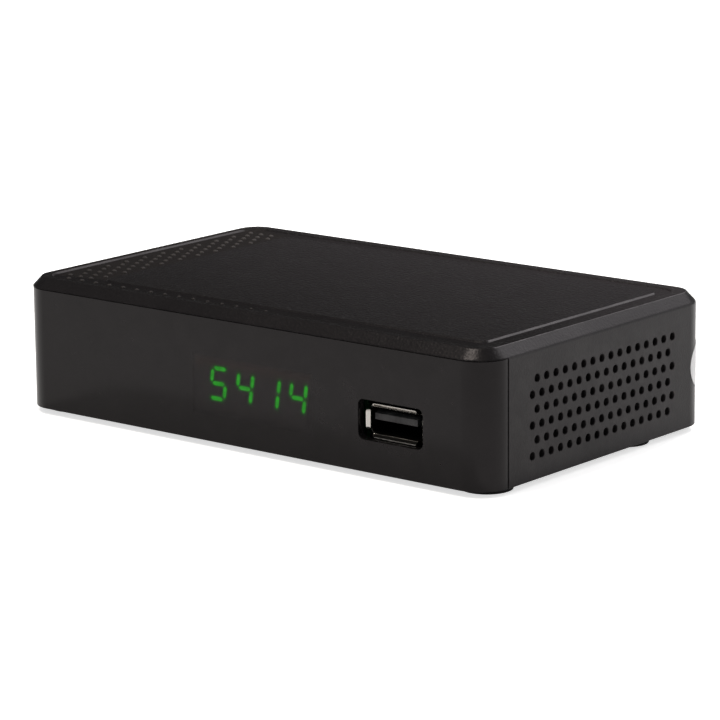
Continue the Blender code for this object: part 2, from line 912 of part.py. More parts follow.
def build_scart():
    mouth = back_y
    inner = mouth - scart_depth
    frame = bmesh.new()
    add_prism(frame, scart_outline(0), inner, mouth, "Y")
    frame_object = finish_object("scart_frame", frame, "chip black", smooth=False)
    hollow = bmesh.new()
    add_prism(hollow, scart_outline(scart_wall), inner + scart_back_wall, mouth + overrun, "Y")
    combine(frame_object, "scart_hollow", hollow, "DIFFERENCE")

    block = bmesh.new()
    face = mouth - scart_block_setback
    add_prism(block, scart_outline(scart_wall + scart_slot), inner + scart_back_wall + seat_gap, face, "Y")
    block_object = finish_object("scart_block", block, "chip black", smooth=False)
    slots = bmesh.new()
    middle = mounted_z + scart_height / 2
    contact_pitch = scart_width * contact_pitch_share
    for row in (-1, 1):
        for column in range(contact_columns):
            x = scart_x + (column - contact_columns / 2 + (row + 1) / 4) * contact_pitch
            z = middle + row * contact_row_rise
            add_box(slots, x - contact_slot_width / 2, x + contact_slot_width / 2,
                    face - contact_slot_depth, face + overrun,
                    z - contact_slot_height / 2, z + contact_slot_height / 2)
    combine(block_object, "scart_slots", slots, "DIFFERENCE")


def build_power():
    mouth = back_y - power_setback
    inner = mouth - power_depth
    middle = (power_x, mounted_z + power_rise)
    shape = bmesh.new()
    add_box(shape, power_x - power_width / 2, power_x + power_width / 2, inner, mouth, mounted_z,
            mounted_z + power_height)
    body = finish_object("power_socket", shape, "chip black")
    bore = bmesh.new()
    floor = mouth - power_bore_depth
    radius = power_width / 2 - power_wall
    add_turned(bore, [(radius, floor), (radius, mouth + overrun)], middle, "Y", wide_sides)
    combine(body, "power_bore", bore, "DIFFERENCE")

    pin = bmesh.new()
    start = floor + seat_gap
    add_turned(pin, [(power_pin_radius, start), (power_pin_radius, start + power_pin_length)], middle, "Y",
               round_sides)
    finish_object("power_pin", pin, "steel")


def build_rear_plate():
    side = half_width - rear_window_side + plate_margin
    low = floor_z + seat_gap
    high = base_z + rear_window_high + plate_margin
    shape = bmesh.new()
    add_box(shape, -side, side, plate_front, plate_back, low, high)
    plate = finish_object("rear_plate", shape, "steel", smooth=False)

    holes = bmesh.new()
    start = plate_front - overrun
    stop = plate_back + overrun
    for x, radius in ((aerial_in_x, aerial_in_radius), (aerial_out_x, aerial_out_radius)):
        profile = [(radius + seat_gap, start), (radius + seat_gap, stop)]
        add_turned(holes, profile, (x, base_z + aerial_z), "Y", wide_sides)
    for x, width, height in (
        (hdmi_x, hdmi_width, hdmi_height), (scart_x, scart_width, scart_height),
        (power_x, power_width, power_height),
    ):
        add_box(holes, x - width / 2 - seat_gap, x + width / 2 + seat_gap, start, stop,
                mounted_z - seat_gap, mounted_z + height + seat_gap)
    combine(plate, "plate_holes", holes, "DIFFERENCE")


# Pieces on the main board

def add_chip(name, x, setback, length, width, height, colour="chip black"):
    shape = bmesh.new()
    y = front_y + setback
    add_box(shape, x - length / 2, x + length / 2, y - width / 2, y + width / 2,
            mounted_z, mounted_z + height)
    finish_object(name, shape, colour, smooth=False)


def build_heat_sink():
    low = mounted_z + soc_height + seat_gap
    y = front_y + soc_setback
    half = sink_size / 2
    pitch = sink_size / (sink_fin_count - 1 + sink_fin_share)
    fin = pitch * sink_fin_share
    outline = [(soc_x - half, low), (soc_x + half, low)]
    for index in reversed(range(sink_fin_count)):
        left = soc_x - half + index * pitch
        outline.append((left + fin, low + sink_fin_height))
        outline.append((left, low + sink_fin_height))
        if index:
            outline.append((left, low + sink_plate))
            outline.append((left - pitch + fin, low + sink_plate))
    shape = bmesh.new()
    add_prism(shape, outline, y - half, y + half, "Y")
    finish_object("heat_sink", shape, "aluminium", smooth=False)


def build_capacitors():
    top = mounted_z + capacitor_height
    collar = mounted_z + capacitor_collar
    neck = capacitor_radius - capacitor_groove
    for index in range(capacitor_count):
        setback = case_depth * (capacitor_first_share + index * capacitor_pitch_share)
        centre = (capacitor_x, front_y + setback)
        shape = bmesh.new()
        profile = [
            (capacitor_radius, mounted_z), (capacitor_radius, collar), (neck, collar + capacitor_groove),
            (capacitor_radius, collar + 2 * capacitor_groove), (capacitor_radius, top - capacitor_groove),
            (neck, top),
        ]
        add_turned(shape, profile, centre, "Z", round_sides)
        finish_object("capacitor_%d" % (index + 1), shape, "sleeve blue")


def build_coils():
    for index in range(coil_count):
        y = front_y + case_depth * (coil_first_share + index * coil_pitch_share)
        half = coil_size / 2
        coil_x = capacitor_x + capacitor_radius + coil_clearance + half
        shape = bmesh.new()
        add_prism(shape, rounded_rectangle(coil_x - half, coil_x + half, y - half, y + half, coil_corner,
                                           small_steps), mounted_z, mounted_z + coil_height)
        finish_object("coil_%d" % (index + 1), shape, "ferrite")


build_shell()
build_panel()
build_base()
build_feet()
build_case_screws()
build_main_board()
build_display()
build_receiver()
build_usb()
build_rear_plate()
build_tuner()
build_aerial_socket("aerial_in", aerial_in_x, aerial_in_radius, aerial_in_radius - aerial_in_wall, [
    (contact_outer, 0), (contact_outer, contact_length), (contact_bore, contact_length),
    (contact_bore, contact_length - contact_bore_depth),
])
build_aerial_socket("aerial_out", aerial_out_x, aerial_out_radius, aerial_out_radius - aerial_out_wall, [
    (pin_radius, 0), (pin_radius, contact_length - pin_taper), (pin_radius / 2, contact_length),
])
build_hdmi()
build_scart()
build_power()
add_chip("main_chip", soc_x, soc_setback, soc_size, soc_size, soc_height)
add_chip("memory_chip", soc_x + sink_size / 2 + memory_clearance + memory_width / 2, soc_setback,
         memory_width, memory_length, memory_height)
add_chip("flash_chip", soc_x - sink_size / 2 - flash_clearance - flash_width / 2, soc_setback,
         flash_width, flash_length, memory_height)
add_chip("crystal", soc_x, soc_setback - sink_size / 2 - crystal_clearance - crystal_width / 2,
         crystal_length, crystal_width, crystal_height, "steel")
build_heat_sink()
build_capacitors()
build_coils()
print("receiver built:", len(bpy.data.objects), "objects with cutters")
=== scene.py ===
import math

import bmesh
import bpy
from mathutils import Matrix, Vector


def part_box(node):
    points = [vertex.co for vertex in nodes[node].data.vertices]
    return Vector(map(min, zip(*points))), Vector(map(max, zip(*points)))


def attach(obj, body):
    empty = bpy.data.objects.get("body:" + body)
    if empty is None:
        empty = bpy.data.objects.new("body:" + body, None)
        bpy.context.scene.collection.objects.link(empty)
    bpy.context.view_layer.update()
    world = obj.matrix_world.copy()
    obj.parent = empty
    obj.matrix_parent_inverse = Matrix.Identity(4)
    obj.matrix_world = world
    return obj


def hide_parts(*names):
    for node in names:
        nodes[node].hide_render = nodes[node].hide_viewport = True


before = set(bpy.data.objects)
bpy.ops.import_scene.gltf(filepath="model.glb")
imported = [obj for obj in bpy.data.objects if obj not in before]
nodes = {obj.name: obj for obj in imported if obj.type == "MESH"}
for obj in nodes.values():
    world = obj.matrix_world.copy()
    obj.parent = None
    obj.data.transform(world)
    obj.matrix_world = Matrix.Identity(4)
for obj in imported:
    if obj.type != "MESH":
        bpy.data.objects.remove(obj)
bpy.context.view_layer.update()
mm = 0.001
print("frame loaded:", len(nodes), "nodes")


# outlines and meshes

meshing = {"sharpFrom": 35, "easeFrom": 40, "wornFrom": 40, "curveReach": 0.45, "curveSteps": 3, "over": 1 * mm}


def roundedOutline(xLow, xHigh, yLow, yHigh, radius, steps):
    corners = ((xLow + radius, yLow + radius, 180), (xHigh - radius, yLow + radius, 270),
               (xHigh - radius, yHigh - radius, 0), (xLow + radius, yHigh - radius, 90))
    outline = []
    for cx, cy, start in corners:
        for step in range(steps + 1):
            turn = math.radians(start + 90 * step / steps)
            outline.append((cx + radius * math.cos(turn), cy + radius * math.sin(turn)))
    return outline


def uprightRing(low, high, grow, radius, steps, y, drop=0.0):
    # a rounded rectangle that stands across y, grown on every side and lowered at its top
    outline = roundedOutline(low[0] - grow, high[0] + grow, low[1] - grow, high[1] + grow - drop, radius, steps)
    return [(x, y, z) for x, z in outline]


def curved(start, here, end, steps):
    for step in range(steps + 1):
        t = step / steps
        yield start * (1 - t) ** 2 + here * 2 * t * (1 - t) + end * t * t


def softenedProfile(points):
    # points are (a, b, radius); every inner corner with a radius becomes a short curve
    profile = []
    for index, (a, b, radius) in enumerate(points):
        here = Vector((a, b))
        if radius == 0 or index in (0, len(points) - 1):
            profile.append((a, b))
            continue
        before = Vector(points[index - 1][:2]) - here
        after = Vector(points[index + 1][:2]) - here
        turn = math.pi - before.angle(after)
        most = meshing["curveReach"]
        reach = min(radius * math.tan(turn / 2), before.length * most, after.length * most)
        start, end = here + before.normalized() * reach, here + after.normalized() * reach
        profile += [(point.x, point.y) for point in curved(start, here, end, meshing["curveSteps"])]
    return profile


def ringsInto(bm, rings, closed=True, capped=True, looped=False):
    # joins rings of equally many points; closed rings run all the way round
    levels = [[bm.verts.new(point) for point in ring] for ring in rings]
    pairs = list(zip(levels, levels[1:])) + ([(levels[-1], levels[0])] if looped else [])
    for lower, upper in pairs:
        for i in range(len(lower) if closed else len(lower) - 1):
            j = (i + 1) % len(lower)
            bm.faces.new((lower[i], lower[j], upper[j], upper[i]))
    if capped and not looped:
        bm.faces.new(list(reversed(levels[0])))
        bm.faces.new(levels[-1])


def turnedInto(bm, profile, middle, axis, sides, looped=False):
    # profile is (radius, level); axis is the way the levels run
    rings = []
    for radius, level in profile:
        ring = []
        for side in range(sides):
            turn = 2 * math.pi * side / sides
            u, v = middle[0] + radius * math.cos(turn), middle[1] + radius * math.sin(turn)
            ring.append({"X": (level, u, v), "Y": (u, level, v), "Z": (u, v, level)}[axis])
        rings.append(ring)
    ringsInto(bm, rings, looped=looped)


def boxInto(bm, low, high):
    ring = ((low[0], low[1]), (high[0], low[1]), (high[0], high[1]), (low[0], high[1]))
    ringsInto(bm, [[(x, y, z) for x, y in ring] for z in (low[2], high[2])])


def meshPiece(name, bm):
    bmesh.ops.recalc_face_normals(bm, faces=bm.faces)
    if bm.calc_volume(signed=True) < 0:
        bmesh.ops.reverse_faces(bm, faces=bm.faces)
    mesh = bpy.data.meshes.new(name)
    bm.to_mesh(mesh)
    bm.free()
    piece = bpy.data.objects.new(name, mesh)
    bpy.context.scene.collection.objects.link(piece)
    mesh.shade_smooth()
    mesh.set_sharp_from_angle(angle=math.radians(meshing["sharpFrom"]))
    return piece


def ringPiece(name, rings):
    bm = bmesh.new()
    ringsInto(bm, rings)
    return meshPiece(name, bm)


def turnedPiece(name, profile, middle, axis, sides, looped=False):
    bm = bmesh.new()
    turnedInto(bm, softenedProfile(profile), middle, axis, sides, looped)
    return meshPiece(name, bm)


def cutAway(piece, bm):
    # takes one cutter out of the piece for good
    cutter = meshPiece(piece.name + "Cutter", bm)
    cut = piece.modifiers.new("cut", "BOOLEAN")
    cut.operation, cut.solver, cut.object = "DIFFERENCE", "EXACT", cutter
    bakeModifiers(piece)
    bpy.data.objects.remove(cutter, do_unlink=True)


def cutBox(piece, low, high):
    bm = bmesh.new()
    boxInto(bm, low, high)
    cutAway(piece, bm)


def cutRings(piece, rings):
    bm = bmesh.new()
    ringsInto(bm, rings)
    cutAway(piece, bm)


def bakeModifiers(piece):
    graph = bpy.context.evaluated_depsgraph_get()
    graph.update()
    old = piece.data
    piece.data = bpy.data.meshes.new_from_object(piece.evaluated_get(graph))
    piece.modifiers.clear()
    bpy.data.meshes.remove(old)


def easeEdges(piece, width, picked=None):
    # a small bevel on sharp edges, or on those that the picker chooses
    bevel = piece.modifiers.new("ease", "BEVEL")
    bevel.width, bevel.segments, bevel.harden_normals = width, 2, False
    if picked is None:
        bevel.limit_method, bevel.angle_limit = "ANGLE", math.radians(meshing["easeFrom"])
    else:
        bevel.limit_method = "WEIGHT"
        weights = piece.data.attributes.new("bevel_weight_edge", "FLOAT", "EDGE")
        verts = piece.data.vertices
        for edge in piece.data.edges:
            ends = [verts[i].co for i in edge.vertices]
            weights.data[edge.index].value = 1.0 if picked(*ends) else 0.0
    bakeModifiers(piece)


def finishPiece(piece, kinds, node=None, sharpFrom=meshing["sharpFrom"], wornAndSheen=True):
    # shading, wear and painted sheen along the edges, materials, and the piece's place on the part
    mesh = piece.data
    mesh.shade_smooth()
    mesh.set_sharp_from_angle(angle=math.radians(sharpFrom))
    if wornAndSheen:
        markEdges(mesh)
    mesh.materials.clear()
    for kind in [kinds] if isinstance(kinds, str) else kinds:
        mesh.materials.append(finishes[kind])
    steady = piece.modifiers.new("steady shading", "WEIGHTED_NORMAL")
    steady.keep_sharp = True
    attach(piece, "root")
    if node:
        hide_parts(node)


def markEdges(mesh):
    # the attribute "edge" is high where the surface turns outwards, for the wear and the painted edge sheen
    bm = bmesh.new()
    bm.from_mesh(mesh)
    turned = []
    for vert in bm.verts:
        most = 0.0
        for link in vert.link_edges:
            if len(link.link_faces) == 2 and link.is_convex:
                most = max(most, link.calc_face_angle(0.0))
        turned.append(min(1.0, most / math.radians(meshing["wornFrom"])))
    bm.free()
    edge = mesh.attributes.new("edge", "FLOAT", "POINT")
    edge.data.foreach_set("value", turned)


# shader groups that several finishes share

darkStart, greyStart, paleStart = (0.02, 0.02, 0.02, 1.0), (0.08, 0.08, 0.08, 1.0), (0.6, 0.6, 0.6, 1.0)
socketKinds = {1: "NodeSocketFloat", 3: "NodeSocketVector", 4: "NodeSocketColor"}


def newGroup(name, inputs, outputs):
    # a number starts a value, three start a vector and four a colour
    group = bpy.data.node_groups.new(name, "ShaderNodeTree")
    for label, start in inputs.items():
        kind = socketKinds[len(start) if isinstance(start, tuple) else 1]
        group.interface.new_socket(label, in_out="INPUT", socket_type=kind).default_value = start
    for label in outputs:
        kind = socketKinds[4 if label == "Colour" else 1]
        group.interface.new_socket(label, in_out="OUTPUT", socket_type=kind)
    return group, group.nodes.new("NodeGroupInput").outputs, group.nodes.new("NodeGroupOutput").inputs


def feed(tree, inputs, values):
    # links each input whose value is a socket, and sets the others
    for label, value in values.items():
        socket = inputs[label]
        if isinstance(value, bpy.types.NodeSocket):
            tree.links.new(value, socket)
        elif socket.type == "RGBA" and len(value) == 3:
            socket.default_value = (*value, 1.0)
        else:
            socket.default_value = value


def put(tree, kind, **values):
    # one node; the values that aren't among its settings are its inputs
    node = tree.nodes.new("ShaderNode" + kind)
    inputs = {}
    for key, value in values.items():
        if hasattr(node, key):
            setattr(node, key, value)
        else:
            inputs[key.replace("_", " ")] = value
    feed(tree, node.inputs, inputs)
    return node


def calc(tree, operation, *values, clamp=False):
    node = put(tree, "Math", operation=operation, use_clamp=clamp)
    feed(tree, node.inputs, dict(enumerate(values)))
    return node.outputs[0]


def vectorCalc(tree, operation, values):
    node = put(tree, "VectorMath", operation=operation)
    feed(tree, node.inputs, values)
    return node.outputs


def blendColours(tree, share, first, second):
    node = put(tree, "Mix", data_type="RGBA")
    feed(tree, node.inputs, {0: share, 6: first, 7: second})
    return node.outputs[2]


def ramp(tree, value, fromMin, fromMax, toMin=0.0, toMax=1.0, **settings):
    return put(tree, "MapRange", Value=value, From_Min=fromMin, From_Max=fromMax, To_Min=toMin,
               To_Max=toMax, **settings).outputs[0]


def placeIn(tree, kind="Object"):
    return put(tree, "TexCoord").outputs[kind]


def axesOf(tree, vector):
    return put(tree, "SeparateXYZ", Vector=vector).outputs


def bumped(tree, height, strength, reliefMm):
    return put(tree, "Bump", Strength=strength, Distance=reliefMm * mm, Height=height).outputs["Normal"]


def placeGroup(tree, group, values):
    node = tree.nodes.new("ShaderNodeGroup")
    node.node_tree = group
    feed(tree, node.inputs, values)
    return node.outputs


def arrangeNodes(tree):
    # columns by how far each node is from the end of the tree
    columns = {node.name: 0 for node in tree.nodes}
    for turn in range(len(tree.nodes)):
        for link in tree.links:
            first, second = link.from_node.name, link.to_node.name
            columns[first] = max(columns[first], columns[second] + 1)
    filled = {}
    for node in tree.nodes:
        column = columns[node.name]
        node.location = (-220 * column, -260 * filled.get(column, 0))
        filled[column] = filled.get(column, 0) + 1


def buildMouldGrain():
    # the fine etched grain of a moulded plastic, with its raised tips coloured lighter: partly the grain's own tone,
    # partly a painted glint where light catches them
    group, given, made = newGroup("mould grain", {
        "Colour": darkStart, "Tip Tone And Glint": greyStart, "Size mm": 0.5, "Cloud Share": 0.7, "Tips": 0.3,
        "Roughness": 0.5, "Spread": 0.1}, ["Colour", "Roughness", "Height"])
    place = placeIn(group)
    scale = calc(group, "DIVIDE", 1 / mm, given["Size mm"])
    pebbles = put(group, "TexVoronoi", feature="SMOOTH_F1", Smoothness=0.6, Vector=place, Scale=scale)
    cloud = put(group, "TexNoise", Detail=3.0, Roughness=0.6, Vector=place,
                Scale=calc(group, "MULTIPLY", scale, given["Cloud Share"]))
    broad = put(group, "TexNoise", Detail=2.0, Scale=55.0, Vector=place)
    bump = calc(group, "SUBTRACT", 1.0, pebbles.outputs["Distance"])
    height = calc(group, "MULTIPLY", bump, cloud.outputs["Fac"])
    share = calc(group, "MULTIPLY", ramp(group, height, 0.42, 0.66), given["Tips"])
    drift = calc(group, "MULTIPLY", ramp(group, broad.outputs["Fac"], 0.35, 0.65, -1.0, 1.0), given["Spread"])
    feed(group, made, {"Colour": blendColours(group, share, given["Colour"], given["Tip Tone And Glint"]),
                       "Roughness": calc(group, "ADD", given["Roughness"], drift), "Height": height})
    return group


def buildEdgeWearAndSheen():
    # lighter edges, partly rubbed wear and partly painted sheen where light would catch them, broken up so that they
    # don't draw an even line
    group, given, made = newGroup("edge wear", {
        "Colour": darkStart, "Worn And Sheen Colour": greyStart, "Amount": 0.4, "Roughness": 0.4,
        "Worn Roughness": 0.25}, ["Colour", "Roughness"])
    edge = put(group, "Attribute", attribute_name="edge").outputs["Fac"]
    patches = put(group, "TexNoise", Scale=240.0, Detail=4.0, Roughness=0.65, Vector=placeIn(group))
    broken = ramp(group, patches.outputs["Fac"], 0.38, 0.62)
    mask = calc(group, "MULTIPLY", calc(group, "MULTIPLY", edge, broken), given["Amount"], clamp=True)
    change = calc(group, "SUBTRACT", given["Worn Roughness"], given["Roughness"])
    change = calc(group, "MULTIPLY", change, mask)
    feed(group, made, {"Colour": blendColours(group, mask, given["Colour"], given["Worn And Sheen Colour"]),
                       "Roughness": calc(group, "ADD", given["Roughness"], change)})
    return group


def buildDustFilm():
    # a thin film and a few specks of dust, more on what faces up
    group, given, made = newGroup("dust film", {
        "Colour": darkStart, "Dust Colour": (0.35, 0.34, 0.32, 1.0), "Film": 0.02, "Specks": 0.2,
        "Roughness": 0.4}, ["Colour", "Roughness"])
    place = placeIn(group)
    facing = put(group, "NewGeometry").outputs["Normal"]
    upward = ramp(group, axesOf(group, facing)["Z"], -0.2, 1.0, 0.25)
    cloud = put(group, "TexNoise", Scale=90.0, Detail=5.0, Roughness=0.7, Vector=place)
    grit = put(group, "TexVoronoi", Scale=420.0, Vector=place).outputs
    tint = put(group, "SeparateColor", Color=grit["Color"]).outputs[0]
    film = calc(group, "MULTIPLY", cloud.outputs["Fac"], given["Film"])
    dots, rare = ramp(group, grit["Distance"], 0.10, 0.05), ramp(group, tint, 0.72, 0.8)
    specks = calc(group, "MULTIPLY", calc(group, "MULTIPLY", dots, rare), given["Specks"])
    mask = calc(group, "MULTIPLY", calc(group, "ADD", film, specks), upward, clamp=True)
    feed(group, made, {"Colour": blendColours(group, mask, given["Colour"], given["Dust Colour"]),
                       "Roughness": calc(group, "ADD", given["Roughness"], mask)})
    return group


def buildRolledMetal():
    # fine lines along the way a sheet was rolled or a turned piece was cut
    group, given, made = newGroup("rolled metal", {
        "Colour": paleStart, "Dull Colour": paleStart, "Lines": (600.0, 9000.0, 9000.0), "Roughness": 0.25,
        "Spread": 0.12, "Dulling": 0.08}, ["Colour", "Roughness", "Height"])
    place = placeIn(group)
    stretched = vectorCalc(group, "MULTIPLY", {0: place, 1: given["Lines"]})[0]
    lines = put(group, "TexNoise", Scale=1.0, Detail=3.0, Roughness=0.6, Vector=stretched).outputs["Fac"]
    blotch = put(group, "TexNoise", Scale=220.0, Detail=3.0, Vector=place).outputs["Fac"]
    dull = ramp(group, blotch, 0.45, 0.75)
    change = calc(group, "MULTIPLY", calc(group, "SUBTRACT", lines, 0.5), given["Spread"])
    rough = calc(group, "ADD", given["Roughness"], change)
    rough = calc(group, "ADD", rough, calc(group, "MULTIPLY", dull, given["Dulling"]))
    feed(group, made, {"Colour": blendColours(group, dull, given["Colour"], given["Dull Colour"]),
                       "Roughness": rough, "Height": lines})
    return group


def buildPaintedLightDrift():
    # painted light: the colour is scaled up along the given way and down against it, no lower than the least share
    group, given, made = newGroup("painted light drift", {
        "Colour": darkStart, "Way": (0.0, 0.0, 0.0), "Least": 0.5}, ["Colour"])
    along = vectorCalc(group, "DOT_PRODUCT", {0: placeIn(group), 1: given["Way"]})["Value"]
    share = calc(group, "MAXIMUM", calc(group, "ADD", along, 1.0), given["Least"])
    feed(group, made, {"Colour": vectorCalc(group, "SCALE", {0: given["Colour"], "Scale": share})[0]})
    return group


def buildWindowTint():
    # lets the number module show a little through the panel, with a soft border
    group, given, made = newGroup("window tint", {
        "Middle": (0.0, 0.0, 0.0), "Half Size": (0.016, 0.01, 0.0065), "Border mm": 0.5, "Opacity": 0.6,
    }, ["Alpha"])
    away = vectorCalc(group, "SUBTRACT", {0: placeIn(group), 1: given["Middle"]})[0]
    size = vectorCalc(group, "ABSOLUTE", {0: away})[0]
    left = axesOf(group, vectorCalc(group, "SUBTRACT", {0: given["Half Size"], 1: size})[0])
    near = calc(group, "MINIMUM", calc(group, "MINIMUM", left["X"], left["Z"]), left["Y"])
    mask = calc(group, "DIVIDE", calc(group, "MULTIPLY", near, 1 / mm), given["Border mm"], clamp=True)
    gap = calc(group, "SUBTRACT", 1.0, given["Opacity"])
    feed(group, made, {"Alpha": calc(group, "SUBTRACT", 1.0, calc(group, "MULTIPLY", mask, gap))})
    return group


mouldGrain = buildMouldGrain()
paintedLightDrift = buildPaintedLightDrift()
edgeWearAndSheen = buildEdgeWearAndSheen()
dustFilm = buildDustFilm()
rolledMetal = buildRolledMetal()
windowTint = buildWindowTint()
print("shader groups built")


# finishes

plasticLook = dict(grain=0.62, spread=0.04, wornAndSheen=(0.045, 0.042, 0.042), wear=0.20, wornRoughness=0.40,
                   film=0.008, specks=0.10, shineTint=(1.0, 0.94, 0.96), drift=(0.0, 0.0, 0.0), least=0.5)
socketLook = dict(plasticLook, spread=0.05, film=0.020)
plasticLooks = {
    "case sides": dict(
        plasticLook, colour=(0.0085, 0.0077, 0.0083), tipsAndGlints=(0.018, 0.016, 0.017), grain=0.35, tipShare=0.5,
        roughness=0.31, spread=0.03, wear=0.25, wornRoughness=0.26, specks=0.06, bump=0.14, shine=0.172),
    "case chamfer and painted shade": dict(
        plasticLook, colour=(0.0120, 0.0109, 0.0120), tipsAndGlints=(0.026, 0.024, 0.024), grain=0.50, tipShare=0.6,
        roughness=0.33, spread=0.03, wear=0.25, wornRoughness=0.28, specks=0.06, bump=0.26, shine=0.28),
    # the drift paints these finishes lighter towards the back: a painted light gradient
    "case top": dict(
        plasticLook, colour=(0.0170, 0.0155, 0.0168), tipsAndGlints=(0.085, 0.078, 0.081), tipShare=0.9,
        roughness=0.52, bump=1.0, shine=0.24, drift=(2.0, 13.0, 0.0), least=0.55),
    "case channel": dict(
        plasticLook, colour=(0.0124, 0.0112, 0.0120), tipsAndGlints=(0.062, 0.055, 0.057), tipShare=0.7,
        roughness=0.50, bump=0.9, shine=0.20, drift=(9.0, 34.0, 0.0), least=0.62),
    "stud ground": dict(
        plasticLook, colour=(0.0165, 0.0146, 0.0144), tipsAndGlints=(0.064, 0.056, 0.055), tipShare=0.7,
        roughness=0.52, bump=0.9, shine=0.20, drift=(0.0, 6.0, 0.0)),
    # lighter colour and bright worn edges: a painted highlight on the slopes that face the lamps
    "case rims painted highlight": dict(
        plasticLook, colour=(0.0160, 0.0145, 0.0150), tipsAndGlints=(0.045, 0.042, 0.043), grain=0.40, tipShare=0.5,
        roughness=0.30, wornAndSheen=(0.200, 0.185, 0.195), wear=1.0, wornRoughness=0.25, specks=0.06, bump=0.20,
        shine=0.44),
    # lighter than the case's plastic: a painted highlight standing in for the glints on the domes
    "stud tops": dict(
        plasticLook, colour=(0.054, 0.049, 0.048), tipsAndGlints=(0.070, 0.064, 0.062), grain=0.40, tipShare=0.4,
        roughness=0.60, wear=0.0, specks=0.05, bump=0.10, shine=0.38, drift=(0.0, 11.0, 0.0)),
    "foot rubber": dict(
        plasticLook, colour=(0.018, 0.018, 0.018), tipsAndGlints=(0.028, 0.028, 0.028), grain=0.30, tipShare=0.5,
        roughness=0.82, spread=0.05, wornAndSheen=(0.050, 0.050, 0.050), wear=0.5, wornRoughness=0.9, film=0.06,
        specks=0.3, bump=0.35, shine=0.2),
    "socket black": dict(
        socketLook, colour=(0.020, 0.020, 0.021), tipsAndGlints=(0.034, 0.034, 0.035), grain=0.18, tipShare=0.4,
        roughness=0.42, wornAndSheen=(0.090, 0.090, 0.090), wear=0.35, wornRoughness=0.30, specks=0.15, bump=0.18,
        shine=0.45),
    "tongue grey": dict(
        socketLook, colour=(0.0105, 0.0115, 0.0125), tipsAndGlints=(0.024, 0.026, 0.027), grain=0.15, tipShare=0.3,
        roughness=0.36, wornAndSheen=(0.120, 0.120, 0.120), wear=0.35, wornRoughness=0.30, film=0.010, specks=0.05,
        bump=0.12, shine=0.32),
    "insulator white": dict(
        socketLook, colour=(0.66, 0.64, 0.58), tipsAndGlints=(0.74, 0.72, 0.66), grain=0.20, tipShare=0.4,
        roughness=0.45, wornAndSheen=(0.80, 0.78, 0.72), film=0.030, bump=0.12, shine=0.5),
    "chip black": dict(
        socketLook, colour=(0.026, 0.026, 0.028), tipsAndGlints=(0.042, 0.042, 0.044), grain=0.12, tipShare=0.6,
        roughness=0.50, spread=0.06, wornAndSheen=(0.080, 0.080, 0.080), bump=0.25, shine=0.4),
    "coil ferrite": dict(
        socketLook, colour=(0.060, 0.060, 0.064), tipsAndGlints=(0.110, 0.110, 0.115), grain=0.16, tipShare=0.8,
        roughness=0.62, spread=0.08, wornAndSheen=(0.14, 0.14, 0.14), wear=0.3, wornRoughness=0.55, bump=0.40,
        shine=0.4),
    "capacitor sleeve": dict(
        socketLook, colour=(0.020, 0.035, 0.120), tipsAndGlints=(0.028, 0.048, 0.150), grain=0.60, tipShare=0.3,
        roughness=0.30, spread=0.08, wornAndSheen=(0.060, 0.080, 0.200), wear=0.3, wornRoughness=0.30, bump=0.10,
        shine=0.5),
    "window rear": dict(
        colour=(0.0036, 0.0032, 0.0034), tipsAndGlints=(0.020, 0.018, 0.019), grain=0.5, tipShare=0.2, roughness=0.2,
        spread=0.03, bump=0.05, relief=0.02, shine=0.1, alpha=0.06),
    "module face": dict(
        colour=(0.055, 0.040, 0.030), tipsAndGlints=(0.075, 0.058, 0.045), grain=0.12, tipShare=0.5, roughness=0.55,
        spread=0.05, bump=0.15, relief=0.04, shine=0.3),
    "seal paper": dict(
        colour=(0.74, 0.74, 0.75), tipsAndGlints=(0.82, 0.82, 0.83), grain=0.10, tipShare=0.6, roughness=0.55,
        spread=0.05, wornAndSheen=(0.60, 0.60, 0.61), wear=0.5, wornRoughness=0.7, bump=0.15, relief=0.03, shine=0.5),
}
metalLook = dict(lines=(900.0, 6000.0, 9000.0), roughness=0.15, spread=0.04, wear=0.3, wornRoughness=0.16,
                 bump=0.015, relief=0.02)
metalLooks = {
    "nickel shell": dict(metalLook, colour=(0.70, 0.66, 0.61), dull=(0.66, 0.62, 0.57), wornAndSheen=(0.88, 0.87, 0.85)),
    # the next two are darker copies of the nickel: a painted dimmer reflection and painted shade
    "nickel painted dim": dict(metalLook, colour=(0.47, 0.45, 0.43), dull=(0.44, 0.42, 0.40), wornAndSheen=(0.60, 0.58, 0.56)),
    "shell painted shade": dict(
        metalLook, colour=(0.040, 0.038, 0.036), dull=(0.030, 0.029, 0.028), roughness=0.35, spread=0.08,
        wornAndSheen=(0.10, 0.10, 0.10), wear=0.2, wornRoughness=0.30, bump=0.03),
    "turned nickel": dict(
        metalLook, colour=(0.74, 0.73, 0.70), dull=(0.55, 0.54, 0.51), lines=(700.0, 9000.0, 700.0),
        roughness=0.22, spread=0.16, wornAndSheen=(0.86, 0.85, 0.82), wear=0.5, wornRoughness=0.18, bump=0.10),
    "rear zinc": dict(
        metalLook, colour=(0.56, 0.57, 0.58), dull=(0.42, 0.43, 0.44), lines=(260.0, 4000.0, 9000.0),
        roughness=0.34, spread=0.20, wornAndSheen=(0.70, 0.70, 0.70), wear=0.5, wornRoughness=0.28, bump=0.14),
    "contact gold": dict(
        metalLook, colour=(0.83, 0.62, 0.28), dull=(0.66, 0.48, 0.22), lines=(2500.0, 900.0, 2500.0),
        roughness=0.22, spread=0.12, wornAndSheen=(0.90, 0.70, 0.36), wear=0.4, wornRoughness=0.18, bump=0.05),
    "heat sink aluminium": dict(
        metalLook, colour=(0.72, 0.72, 0.73), dull=(0.58, 0.58, 0.60), lines=(5000.0, 300.0, 5000.0),
        roughness=0.34, spread=0.18, wornAndSheen=(0.84, 0.84, 0.85), wear=0.5, wornRoughness=0.28, bump=0.16),
}


